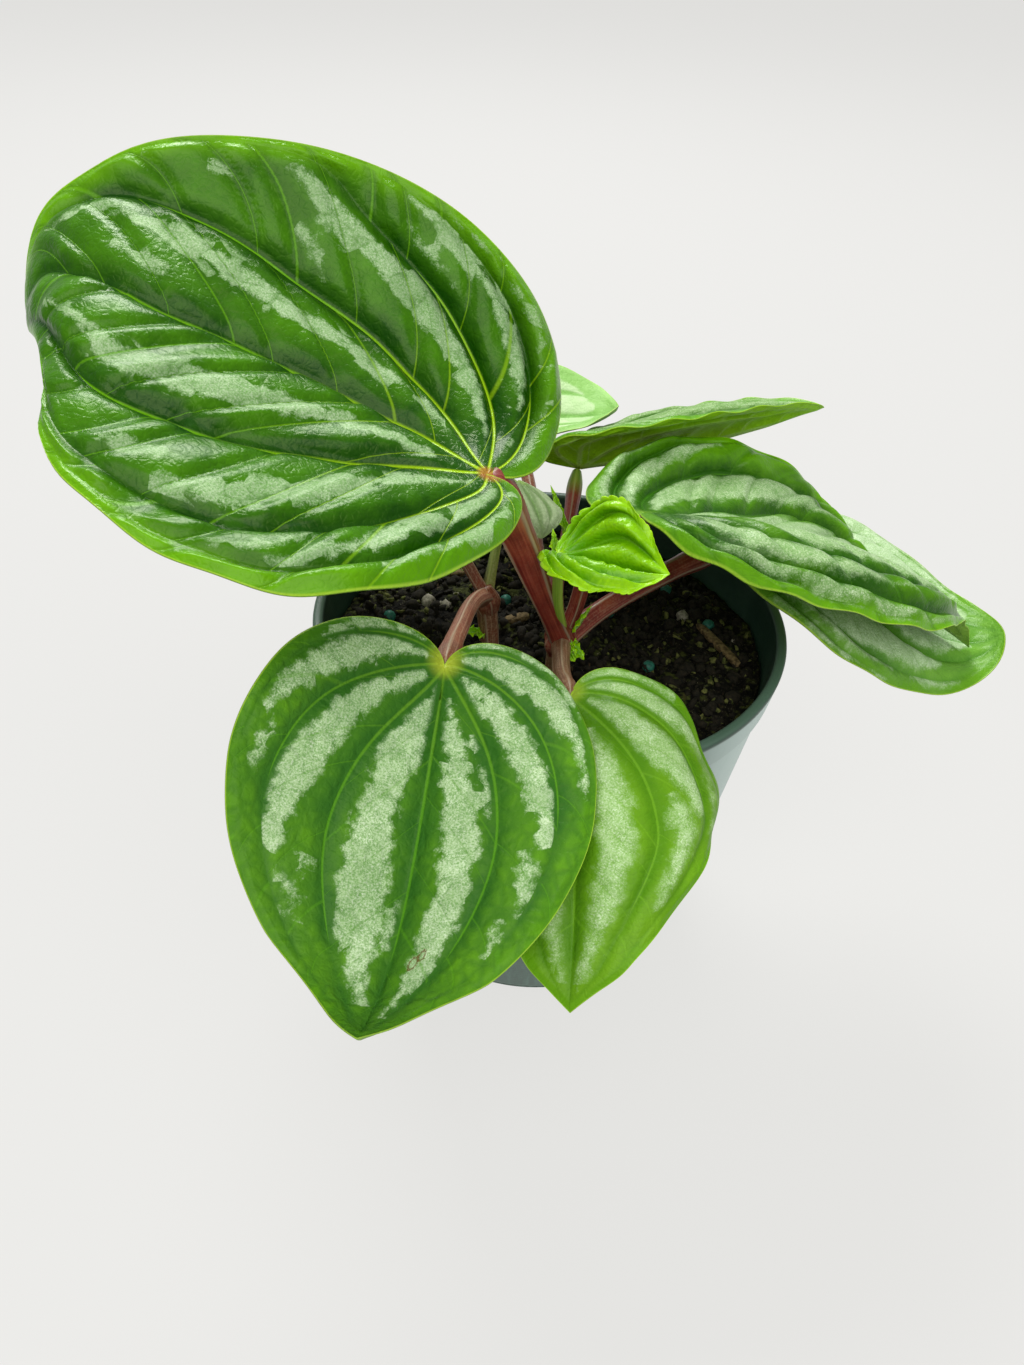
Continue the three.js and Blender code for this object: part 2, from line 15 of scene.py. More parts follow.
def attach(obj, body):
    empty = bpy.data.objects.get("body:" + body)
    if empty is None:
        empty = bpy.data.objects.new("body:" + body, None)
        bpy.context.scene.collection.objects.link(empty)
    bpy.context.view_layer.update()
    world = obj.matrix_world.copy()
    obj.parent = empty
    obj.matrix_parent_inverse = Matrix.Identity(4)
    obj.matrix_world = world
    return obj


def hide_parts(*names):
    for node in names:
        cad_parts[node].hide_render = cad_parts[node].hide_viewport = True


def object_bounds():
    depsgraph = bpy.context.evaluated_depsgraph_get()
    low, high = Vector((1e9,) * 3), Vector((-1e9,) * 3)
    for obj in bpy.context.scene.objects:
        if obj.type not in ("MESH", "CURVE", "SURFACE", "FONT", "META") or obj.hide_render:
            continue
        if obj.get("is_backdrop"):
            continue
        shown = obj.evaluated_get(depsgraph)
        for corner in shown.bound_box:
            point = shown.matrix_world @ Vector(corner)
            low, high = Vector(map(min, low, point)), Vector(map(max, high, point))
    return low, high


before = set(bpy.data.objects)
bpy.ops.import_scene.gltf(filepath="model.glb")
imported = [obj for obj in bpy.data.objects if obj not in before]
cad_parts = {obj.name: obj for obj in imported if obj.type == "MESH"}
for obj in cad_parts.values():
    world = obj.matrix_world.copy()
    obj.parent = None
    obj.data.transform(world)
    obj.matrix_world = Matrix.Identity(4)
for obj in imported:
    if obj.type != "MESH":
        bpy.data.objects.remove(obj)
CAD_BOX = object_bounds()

bl_info = {
    "name": "Potted Peperomia",
    "version": (1, 0, 0),
    "blender": (4, 5, 0),
    "location": "View3D > Sidebar > Peperomia",
    "description": "Builds the pot, soil, stalks and striped leaves of a potted peperomia",
    "category": "Object",
}

MM = 0.001  # one millimetre in metres
BODY = "root"


# ---------------------------------------------------------------- maths on whole arrays

def smooth(x, low, high):
    """0 below low, 1 above high, and an S curve between."""
    u = np.clip((np.asarray(x, float) - low) / (high - low), 0, 1)
    return u * u * (3 - 2 * u)


def through(nodes, t):
    """A smooth curve through (place, value) nodes: cubic between two nodes, level past the ends."""
    at, value = np.array(nodes, float).T
    slope = np.gradient(value, at)
    i = np.clip(np.searchsorted(at, t) - 1, 0, len(at) - 2)
    width = at[i + 1] - at[i]
    u = np.clip((t - at[i]) / width, 0, 1)
    start = (2 * u**3 - 3 * u**2 + 1) * value[i] + (u**3 - 2 * u**2 + u) * width * slope[i]
    end = (3 * u**2 - 2 * u**3) * value[i + 1] + (u**3 - u**2) * width * slope[i + 1]
    return start + end


def unit(vectors):
    """The same directions at length 1."""
    return vectors / np.maximum(np.linalg.norm(vectors, axis=-1, keepdims=True), 1e-12)


def upright_turn(degrees):
    """The matrix that turns rows of places about the vertical."""
    a = math.radians(degrees)
    return np.array([[math.cos(a), math.sin(a), 0], [-math.sin(a), math.cos(a), 0], [0, 0, 1]])


def value_noise(x, y, size, seed):
    """Random heights from -1 to 1 on a square lattice of this size, blended smoothly between."""
    lattice = np.random.default_rng(seed).uniform(-1, 1, (64, 64))
    gx, gy = np.asarray(x) / size + 1000, np.asarray(y) / size + 1000
    i, j = np.floor(gx).astype(int), np.floor(gy).astype(int)
    u, v = smooth(gx - i, 0, 1), smooth(gy - j, 0, 1)
    corner = lambda a, b: lattice[(i + a) % 64, (j + b) % 64]
    low = corner(0, 0) * (1 - u) + corner(1, 0) * u
    high = corner(0, 1) * (1 - u) + corner(1, 1) * u
    return low * (1 - v) + high * v


# ---------------------------------------------------------------- meshes from grids

@dataclass
class Skin:
    """A closed grid of points in millimetres, rows by columns, whose last column meets its first,
    with what its material reads. Point values are grids too. A map is a pair of (u, v) grids: for
    the left and for the right corners of each cell."""
    points: np.ndarray
    values: dict
    maps: dict


def grid_faces(rows, columns):
    """Two triangles for each cell, as numbers of the grid's points."""
    i, left = np.meshgrid(np.arange(rows - 1), np.arange(columns), indexing="ij")
    right = (left + 1) % columns
    a, b = i * columns + left, i * columns + right
    c, d = (i + 1) * columns + right, (i + 1) * columns + left
    return np.stack([np.stack([a, b, c], -1), np.stack([a, c, d], -1)], 2).reshape(-1, 3)


def map_corners(pair):
    """The values of a left/right pair of grids at the corners of grid_faces' triangles."""
    left, right = (np.stack(np.broadcast_arrays(*side), -1) for side in pair)
    a, b, c, d = left[:-1], right[:-1], right[1:], left[1:]
    return np.stack([np.stack([a, b, c], 2), np.stack([a, c, d], 2)], 2).reshape(-1, 3, 2)


def weld(points, digits):
    """The first of each group of points that agree to this many digits, and each point's group."""
    rounded_points = np.round(points, digits)
    _, first, group = np.unique(rounded_points, axis=0, return_index=True, return_inverse=True)
    return first, group.reshape(-1)


def has_area(faces):
    """True for each triangle that has three different corners."""
    a, b, c = faces.T
    return (a != b) & (b != c) & (a != c)


def add_values(mesh, name, values):
    """A number for each point of a mesh, which its material reads."""
    mesh.attributes.new(name, "FLOAT", "POINT").data.foreach_set("value", values.astype(np.float32))


def add_object(name, mesh, material):
    mesh.materials.append(material)
    piece = bpy.data.objects.new(name, mesh)
    bpy.context.scene.collection.objects.link(piece)
    return piece


def build(name, skins, material):
    """One mesh object from closed skins. Points that coincide are welded, faces that collapse
    are left out, and a skin whose faces point inwards is turned."""
    points, faces, base = [], [], 0
    values = {key: [] for key in sorted(skins[0].values)}
    maps = {key: [] for key in sorted(skins[0].maps)}
    for skin in skins:
        flat = skin.points.reshape(-1, 3)
        first, group = weld(flat, 5)
        tri = group[grid_faces(*skin.points.shape[:2])]
        p, q, r = (flat[first][tri[:, k]] for k in range(3))
        inside_out = np.einsum("ij,ij->i", p, np.cross(q, r)).sum() < 0
        order = [0, 2, 1] if inside_out else [0, 1, 2]
        whole = has_area(tri)
        faces.append(tri[whole][:, order] + base)
        points.append(flat[first])
        base += len(first)
        for key in values:
            values[key].append(skin.values[key].reshape(-1)[first])
        for key in maps:
            maps[key].append(map_corners(skin.maps[key])[whole][:, order])
    points, faces = np.concatenate(points) * MM, np.concatenate(faces)
    mesh = bpy.data.meshes.new(name)
    mesh.vertices.add(len(points))
    mesh.vertices.foreach_set("co", points.ravel())
    mesh.loops.add(faces.size)
    mesh.loops.foreach_set("vertex_index", faces.ravel())
    mesh.polygons.add(len(faces))
    mesh.polygons.foreach_set("loop_start", np.arange(0, faces.size, 3))
    mesh.update(calc_edges=True)
    for key, parts in values.items():
        add_values(mesh, key, np.concatenate(parts))
    for key, parts in maps.items():
        layer = mesh.uv_layers.new(name=key)
        layer.uv.foreach_set("vector", np.concatenate(parts).astype(np.float32).ravel())
    mesh.polygons.foreach_set("use_smooth", np.ones(len(faces), bool))
    mesh.validate()
    return add_object(name, mesh, material)


def plain_map(rows, columns):
    """A map that runs once around and once along a closed skin."""
    along = np.linspace(0, 1, rows)[:, None]
    q = np.arange(columns)
    left = (q / columns + 0 * along, along + 0 * q)
    right = ((q + 1) / columns + 0 * along, along + 0 * q)
    return left, right


def keep(piece, slot, *nodes):
    """Puts a finished piece on the body and in its CAD nodes' place. Its slot is not used."""
    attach(piece, BODY)
    if nodes:
        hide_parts(*nodes)
    return piece


# ---------------------------------------------------------------- materials

def expression(operation, reflected=False):
    """A method that works out a Math node on a value and what follows it, or comes before it."""
    def method(value, *others):
        terms = (*others, value) if reflected else (value, *others)
        node = value.finish.node("ShaderNodeMath", {"operation": operation}, dict(enumerate(terms)))
        return Value(value.finish, node.outputs[0])
    return method


class Value:
    """A socket in an expression. Each operator adds the Math node that works it out."""

    def __init__(self, finish, socket):
        self.finish = finish
        self.socket = socket

    __add__ = __radd__ = expression("ADD")
    __mul__ = __rmul__ = expression("MULTIPLY")
    __sub__ = expression("SUBTRACT")
    __rsub__ = expression("SUBTRACT", reflected=True)
    __pow__ = expression("POWER")
    __abs__ = expression("ABSOLUTE")
    low = expression("MINIMUM")
    high = expression("MAXIMUM")
    sine = expression("SINE")
    fraction = expression("FRACT")

    def step(self, low, high, start=0.0, end=1.0):
        """Start below low, end above high, and an S curve between."""
        settings = {"data_type": "FLOAT", "interpolation_type": "SMOOTHSTEP"}
        node = self.finish.node("ShaderNodeMapRange", settings, {
            "Value": self, "From Min": low, "From Max": high, "To Min": start, "To Max": end,
        })
        return Value(self.finish, node.outputs[0])


class Finish:
    """A material that is built up by expressions, on one Principled shader."""

    def __init__(self, name, **constants):
        self.material = bpy.data.materials.new(name)
        self.material.use_nodes = True
        self.tree = self.material.node_tree
        self.tree.nodes.clear()
        self.shader = self.node("ShaderNodeBsdfPrincipled", {}, constants)
        self.node("ShaderNodeOutputMaterial", {}, {"Surface": self.shader.outputs[0]})
        self.place = self.node("ShaderNodeTexCoord").outputs["Object"]

    def node(self, kind, settings=None, sockets=None):
        """A node with its settings made first, and then its sockets' values or links."""
        node = self.tree.nodes.new(kind)
        for key, value in (settings or {}).items():
            setattr(node, key, value)
        for key, value in (sockets or {}).items():
            socket = node.inputs[key]
            if isinstance(value, Value):
                self.tree.links.new(value.socket, socket)
            elif isinstance(value, bpy.types.NodeSocket):
                self.tree.links.new(value, socket)
            elif isinstance(value, tuple) and len(value) == 3 and socket.type == "RGBA":
                socket.default_value = (*value, 1.0)
            else:
                socket.default_value = value
        return node

    def set(self, **sockets):
        """Feeds the shader's sockets, named with _ for spaces."""
        for key, value in sockets.items():
            socket = self.shader.inputs[key.replace("_", " ")]
            self.tree.links.new(value.socket if isinstance(value, Value) else value, socket)

    def attribute(self, name):
        node = self.node("ShaderNodeAttribute", {"attribute_name": name})
        return Value(self, node.outputs["Fac"])

    def parts(self, vector):
        """The three numbers of a vector."""
        separate = self.node("ShaderNodeSeparateXYZ", {}, {0: vector})
        return [Value(self, output) for output in separate.outputs]

    def map(self, name):
        """The two numbers of one of the mesh's own maps."""
        return self.parts(self.node("ShaderNodeUVMap", {"uv_map": name}).outputs[0])[:2]

    def stretched(self, scale, turn=(0, 0, 0)):
        """Object coordinates, stretched."""
        sockets = {"Vector": self.place, "Scale": scale, "Rotation": turn}
        return self.node("ShaderNodeMapping", {}, sockets).outputs[0]

    def texture(self, kind, size, vector=None, settings=None, **sockets):
        """A texture node's outputs, with features of this size in millimetres."""
        sockets |= {"Vector": vector or self.place, "Scale": 1 / (size * MM)}
        return self.node(kind, settings, sockets).outputs

    def noise(self, size, detail=2.0, roughness=0.5, vector=None):
        """Cloudy values round 0.5, with lumps of this size."""
        outputs = self.texture(
            "ShaderNodeTexNoise", size, vector, Detail=detail, Roughness=roughness)
        return Value(self, outputs[0])

    def cells(self, size, vector=None):
        """Distance to the edges of cells of this size."""
        settings = {"feature": "DISTANCE_TO_EDGE"}
        return Value(self, self.texture("ShaderNodeTexVoronoi", size, vector, settings)[0])

    def cell_tones(self, size, vector):
        """A random value from 0 to 1 for each cell of this size."""
        colour = self.texture("ShaderNodeTexVoronoi", size, vector, {"feature": "F1"})["Color"]
        return self.parts(colour)[0]

    def wavy(self, size, reach):
        """Object coordinates pushed about by a noise, by this many millimetres."""
        noise = self.texture("ShaderNodeTexNoise", size)[1]
        middled = self.node(
            "ShaderNodeVectorMath", {"operation": "SUBTRACT"}, {0: noise, 1: (0.5,) * 3})
        sockets = {0: middled.outputs[0], 1: (reach * MM,) * 3, 2: self.place}
        return self.node("ShaderNodeVectorMath", {"operation": "MULTIPLY_ADD"}, sockets).outputs[0]

    def mix(self, factor, a, b):
        """Colour a at factor 0 and colour b at factor 1."""
        return self.node("ShaderNodeMix", {"data_type": "RGBA"}, {0: factor, 6: a, 7: b}).outputs[2]

    def bump(self, height, strength, distance):
        """A normal tilted by the slopes of a height, whose full range is this many millimetres."""
        sockets = {"Strength": strength, "Distance": distance * MM, "Height": height}
        return self.node("ShaderNodeBump", {}, sockets).outputs[0]


# ---------------------------------------------------------------- blades

@dataclass(frozen=True)
class Band:
    """A silver band. Each node gives, in percent, a place along the blade, how far the band's
    middle is from the inner vein to the outer one there, and its half width, of that gap."""
    gap: int  # 1 beside the midrib to 4 at the edge, negative on the right
    nodes: tuple
    strength: float = 1.0


def both_sides(*bands):
    return bands + tuple(replace(band, gap=-band.gap) for band in bands)


# How the bands run on a blade that the photo doesn't show closely.
USUAL_BANDS = both_sides(
    Band(1, ((7, 50, 10), (30, 50, 23), (60, 58, 24), (90, 62, 5))),
    Band(2, ((5, 50, 12), (25, 52, 25), (45, 75, 18), (58, 95, 4))),
    Band(2, ((45, 45, 3), (57, 65, 14), (68, 90, 4)), 0.8),
    Band(3, ((5, 55, 15), (20, 58, 27), (42, 85, 5))),
    Band(3, ((30, 35, 4), (42, 70, 12), (50, 90, 4)), 0.7),
    Band(4, ((4, 50, 15), (18, 50, 30), (32, 60, 5))),
)

# Veins as shares of the way from the midrib to the edge, at the base, along the blade and
# at its tip.
USUAL_VEINS = (
    ((0, 0.16), (0.1, 0.267), (0.2, 0.343), (0.4, 0.43), (1, 0.47)),
    ((0, 0.5), (0.1, 0.6), (0.2, 0.67), (0.4, 0.753), (1, 0.79)),
    ((0, 0.76), (0.1, 0.825), (0.2, 0.872), (0.4, 0.925), (1, 0.95)),
)
STRAIGHT_MIDRIB = ((0, 0), (1, 0))


@dataclass(frozen=True)
class Blade:
    """One leaf's form, in the words of the part's source, and its own veins and bands."""
    name: str
    look: str  # one of LOOKS
    base: tuple
    heading: float  # this and the angles below in degrees
    pitch: float
    roll: float
    twist: float
    droop: float
    tip_curl: float
    sweep: float
    length: float
    halves: tuple  # left, right half widths
    fold: tuple
    curl: tuple
    lobes: tuple
    widest: float
    shoulder: float
    tip_back: float
    tip_width: float
    quilt: float
    waves: int
    wave_height: float
    thickness: float
    rows: int = 120
    cells: int = 12  # columns between two veins
    rib_spacing: float = 9.0  # between side veins, in millimetres
    pucker: float = 0.35  # height of the swelling between side veins
    vein_ends: tuple = (0.98, 0.75, 0.5)  # where the side's three main veins run out
    teeth: int = 0
    tooth: float = 0.0  # height of a tooth, in millimetres
    drip: float = 0.0  # how far the tip is drawn out, as a share of the length; below 0 it is blunt
    marks: tuple = ()  # small scars: across, along and radius in millimetres
    lobe_rise: tuple = (0.1, 0.1)  # how open the notch at the base is; below 0 the lobe crosses it
    tip_bulge: tuple = (1, 1)  # how much fuller each half is towards its tip
    midrib: tuple = STRAIGHT_MIDRIB
    left_veins: tuple = USUAL_VEINS
    right_veins: tuple = USUAL_VEINS
    bands: tuple = USUAL_BANDS


OUTLINE_HANDLE = 0.62
OUTLINE_BACK = 0.35
MIDRIB_FROM, MIDRIB_TO, MIDRIB_STEPS = -0.6, 1.15, 120
DROOP_POWER, CURL_POWER, WAVE_POWER = 1.3, 6, 6
FADE_BASE, FADE_TIP = 0.25, 0.75  # shares of the length between which the relief is full
DRIP_FROM, DRIP_TO, DRIP_NARROWS = 0.8, 0.95, 9
OUTSIDE, FIELD_LIMIT = -9.0, 6.0  # millimetres inside a band: far off, and the most that is kept
VEIN_WIDTHS = np.array([0.5, 0.6, 0.75, 1, 0.75, 0.6, 0.5])
GROOVE_WIDTH, CUSHION_GROOVE = 1.2, 1.4  # millimetres, along main veins and side veins
EDGE_SWELL_END = 0.35  # how far up the blade the outermost gaps swell
EDGE_THIN, EDGE_MM = 0.12, 2.5  # half the edge's share of the thickness, and how far in it is full


def bezier(p0, p1, p2, p3, count=120):
    """Points of a cubic curve with two handles."""
    u = np.linspace(0, 1, count)[:, None]
    p0, p1, p2, p3 = (np.array(p, float) for p in (p0, p1, p2, p3))
    return (1 - u)**3 * p0 + 3 * (1 - u)**2 * u * p1 + 3 * (1 - u) * u**2 * p2 + u**3 * p3


def outline(blade, side, along):
    """A side of the flat blade's edge, the left one for 0 and the right one for 1: back round its
    lobe, out to the widest place and in to the tip. The share along it is a share of its length.
    Gives radius and angle at the base."""
    rise = blade.widest - OUTLINE_HANDLE * (blade.widest + OUTLINE_BACK)
    widest = (blade.widest, 1)
    back = bezier((0, 0), (-blade.lobes[side], blade.lobe_rise[side]), (rise, 1), widest)
    tip = (1 - blade.tip_back, blade.tip_width * blade.tip_bulge[side])
    front = bezier(widest, (blade.widest + blade.shoulder, 1), tip, (1, 0))
    path = np.vstack([back, front[1:]]) * (blade.length, blade.halves[side])
    length = np.r_[0, np.cumsum(np.linalg.norm(np.diff(path, axis=0), axis=1))]
    radius = np.linalg.norm(path, axis=1)
    angle = np.arctan2(path[:, 1], path[:, 0]) % (2 * np.pi)
    angle[[0, -1]] = angle[1], 0
    share = length / length[-1]
    return np.interp(along, share, radius), np.interp(along, share, angle)


def surface(blade, across, along):
    """The blade's middle surface, by the formula of the part's source.

    The flat place is a radius and an angle at the base, blended from the midrib to the edge.
    It is then carried by the bent midrib, tilted about it, and each half is rolled up as an
    arc of a circle that starts at its fold."""
    left_side = across >= 0
    w = np.abs(across)
    radius, angle = (np.where(left_side, *pair)
                     for pair in zip(outline(blade, 0, along), outline(blade, 1, along)))
    r = (1 - w) * blade.length * along + w * radius
    x, y = r * np.cos(angle * w), r * np.sin(angle * w)
    near_tip = smooth(x / blade.length, DRIP_FROM, DRIP_TO)
    y = y * (1 - DRIP_NARROWS * blade.drip * near_tip)
    x = x + blade.drip * blade.length * near_tip

    step = (MIDRIB_TO - MIDRIB_FROM) * blade.length / MIDRIB_STEPS
    start = MIDRIB_FROM * blade.length

    def slope_and_turn(s):
        u = np.maximum(s / blade.length, 0)
        slope = blade.pitch - blade.droop * u**DROOP_POWER - blade.tip_curl * u**CURL_POWER
        return np.radians(slope), np.radians(blade.sweep) * u

    def run(s):
        slope, turn = slope_and_turn(s)
        ahead = np.cos(slope)
        return np.stack([ahead * np.cos(turn), ahead * np.sin(turn), np.sin(slope)], -1)

    middles = start + (np.arange(MIDRIB_STEPS) + 0.5) * step
    places = np.vstack([np.zeros(3), np.cumsum(run(middles) * step, axis=0)])
    ends = start + np.arange(MIDRIB_STEPS + 1) * step
    carry = lambda s: np.stack([np.interp(s, ends, places[:, k]) for k in range(3)], -1)
    place = carry(x) - carry(np.zeros(1))

    slope, turn = slope_and_turn(x)
    tilt = np.radians(blade.roll + blade.twist * x / blade.length)[..., None]
    level = np.stack([-np.sin(turn), np.cos(turn), 0 * turn], -1)
    upright = np.cross(run(x), level)
    side = level * np.cos(tilt) + upright * np.sin(tilt)
    up = upright * np.cos(tilt) - level * np.sin(tilt)
    fold = np.radians(np.where(left_side, *blade.fold))
    bend = np.radians(np.where(left_side, *blade.curl)) / np.where(left_side, *blade.halves)
    bend = np.where(np.abs(bend) < 1e-6, 1e-6, bend)
    out = (np.sin(fold + bend * y) - np.sin(fold)) / bend
    lift = (np.cos(fold) - np.cos(fold + bend * y)) / bend
    place = place + side * np.where(left_side, out, -out)[..., None] + up * lift[..., None]
    return place @ upright_turn(blade.heading) + np.array(blade.base, float)


def normals(blade, across, along):
    """The direction the blade faces, taken a little inside its ends, where its grid closes up."""
    e = 1e-3
    t = np.clip(along, 0.04, 0.97)
    v = np.clip(across, e - 1, 1 - e)
    ahead = surface(blade, v, t + e) - surface(blade, v, t - e)
    sideways = surface(blade, v + e, t) - surface(blade, v - e, t)
    return unit(np.cross(ahead, sideways))


def vein_places(blade, along):
    """Where the edges and the seven main veins run, from the right edge to the left one. Teeth
    are arches along the edge, whose lengths and heights drift along it."""
    middle = through(blade.midrib, along)
    right = [middle - (1 + middle) * through(nodes, along) for nodes in blade.right_veins[::-1]]
    left = [middle + (1 - middle) * through(nodes, along) for nodes in blade.left_veins]
    turn = np.pi * (blade.teeth * along + 0.6 * np.sin(9 * along))
    scallop = (np.sqrt(np.abs(np.sin(turn))) - 0.7) * (1 + 0.35 * np.sin(23 * along + 1))
    edge = 1 + blade.tooth / np.array(blade.halves)[:, None] * scallop * smooth(along, 0.02, 0.1)
    return np.stack([-edge[1], *right, middle, *left, edge[0]], -1)


def band_field(blade, gap, along, gap_share, gap_width):
    """How deep a place in a gap lies inside a silver band, in millimetres; negative outside."""
    inside = np.full(gap_share.shape, OUTSIDE)
    for band in blade.bands:
        if band.gap == gap:
            nodes = np.array(band.nodes) / 100
            at, _, half = nodes.T
            centre = through(nodes[:, :2], along)
            reach = np.interp(along, at, half, left=-0.5, right=-0.5)
            depth = (reach - np.abs(gap_share - centre)) * gap_width
            ends = np.minimum(along - at[0], at[-1] - along) * blade.length
            depth = np.minimum(depth, ends) * band.strength - (1 - band.strength) * 1.2
            inside = np.maximum(inside, depth)
    return np.clip(inside, -FIELD_LIMIT, FIELD_LIMIT)


def gap_fields(blade, along, travelled):
    """What each gap between two veins holds, on its own columns and on both of its ends: the side
    veins' count, which run forward from the inner vein; the depth inside the silver; the cushions
    between side veins; and the swelling between the gap's two veins."""
    first, second, third = blade.vein_ends
    swell_ends = (EDGE_SWELL_END, third, second, first, first, second, third, EDGE_SWELL_END)
    fields = []
    for k, swell_end in enumerate(swell_ends):
        columns = travelled[:, k * blade.cells:(k + 1) * blade.cells + 1]
        number, inner = (k - 3, columns[:, :1]) if k >= 4 else (k - 4, columns[:, -1:])
        g, width = np.abs(columns - inner), columns[:, -1:] - columns[:, :1] + 1e-6
        t = along[:, None] + 0 * g
        forward = g * (0.75 + 0.35 * g / width)
        phase = (t * blade.length - forward) / blade.rib_spacing + 0.37 * k
        phase = phase + 0.16 * np.sin(4.1 * phase + k)
        depth = band_field(blade, number, t, g / width, width)
        near = np.abs((phase + 0.5) % 1 - 0.5) * blade.rib_spacing * 0.75
        between = smooth(g, 0, 3.0) * smooth(width - g, 0, 2.0)
        cushion = (1 - np.exp(-(near / CUSHION_GROOVE)**2)) * between
        fade = 1 - smooth(t, swell_end - 0.15, swell_end + 0.15)
        swell = (4 * g / width * (1 - g / width))**0.7 * fade
        fields.append((phase, depth, cushion, swell))
    return zip(*fields)


def blade_skin(blade):
    """A leaf as one closed skin, its upper and its under side, on columns that follow the veins.

    Relief: the blade swells between main veins and, in smaller cushions, between side veins;
    every vein lies in a groove; the edge is waved."""
    along = np.linspace(0, 1, blade.rows)
    rails = vein_places(blade, along)
    share = np.arange(blade.cells) / blade.cells
    across = rails[:, :-1, None] + (rails[:, 1:] - rails[:, :-1])[..., None] * share
    across = np.concatenate([across.reshape(blade.rows, -1), rails[:, -1:]], 1)
    t = along[:, None] + 0 * across
    middle = surface(blade, across, t)
    facing = normals(blade, across, t)
    facing[[0, -1]] = facing[[0, -1], [4 * blade.cells]][:, None]

    row_length = np.linalg.norm(np.diff(middle, axis=1), axis=-1)
    travelled = np.concatenate([0 * along[:, None], np.cumsum(row_length, 1)], 1)
    distance = np.abs(travelled[..., None] - travelled[:, None, ::blade.cells])
    to_veins, edge_distance = distance[..., 1:8], distance[..., [0, 8]].min(-1)
    first, second, third = blade.vein_ends
    ends = np.array([third, second, first, 1, first, second, third])
    run_out = smooth(t[..., None] - ends, -0.3, 0.02)
    vein_width = VEIN_WIDTHS * (1.2 - 0.8 * t[..., None])
    to_vein = (to_veins / vein_width + 3 * run_out).min(-1)
    groove = (np.exp(-(to_veins / GROOVE_WIDTH)**2) * (1 - run_out)).max(-1)

    phases, depths, cushions, swells = gap_fields(blade, along, travelled)
    merge = lambda parts: np.concatenate([part[:, :-1] for part in parts[:-1]] + [parts[-1]], 1)
    swell, cushion, depth = merge(swells), merge(cushions), merge(depths)
    fade = smooth(t, 0, FADE_BASE) * (1 - smooth(t, FADE_TIP, 1))
    relief = blade.quilt * (swell - 0.5 - 0.3 * groove) + blade.pucker * (cushion - 0.5)
    wave = blade.wave_height * np.sin(2 * np.pi * blade.waves * t) * np.abs(across)**WAVE_POWER
    lift = ((relief + wave) * fade)[..., None] * facing
    half = blade.thickness * (EDGE_THIN + (0.5 - EDGE_THIN) * smooth(edge_distance, 0, EDGE_MM))
    top = middle + lift + facing * half[..., None]
    under = middle + lift - facing * half[..., None]
    turn = lambda grid: grid[:, ::-1]
    ring = lambda grid: np.concatenate([grid, turn(grid)], 1)
    points = np.concatenate([top, turn(under)], 1)
    values = {
        "vein": ring(to_vein), "silver": ring(depth), "edge_mm": ring(edge_distance),
        "underside": np.concatenate([0 * t, 0 * t + 1], 1),
    }

    def pair(parts):
        """A map whose values jump at the main veins, and the place along the blade."""
        left = np.concatenate([part[:, :-1] for part in parts], 1)
        right = np.concatenate([part[:, 1:] for part in parts], 1)
        side = left[:, :1] * 0
        both = lambda a, b: np.concatenate([a, b[:, -1:] + side, turn(b), a[:, :1] + side], 1)
        rows = along[:, None] + 0 * both(left, right)
        return (both(left, right), rows), (both(right, left), rows)

    steps = np.linspace(0, 1, blade.cells + 1)
    places = [rails[:, k:k + 1] + (rails[:, k + 1:k + 2] - rails[:, k:k + 1]) * steps
              for k in range(8)]
    return Skin(points, values, {"blade": pair(places), "net": pair(phases)})


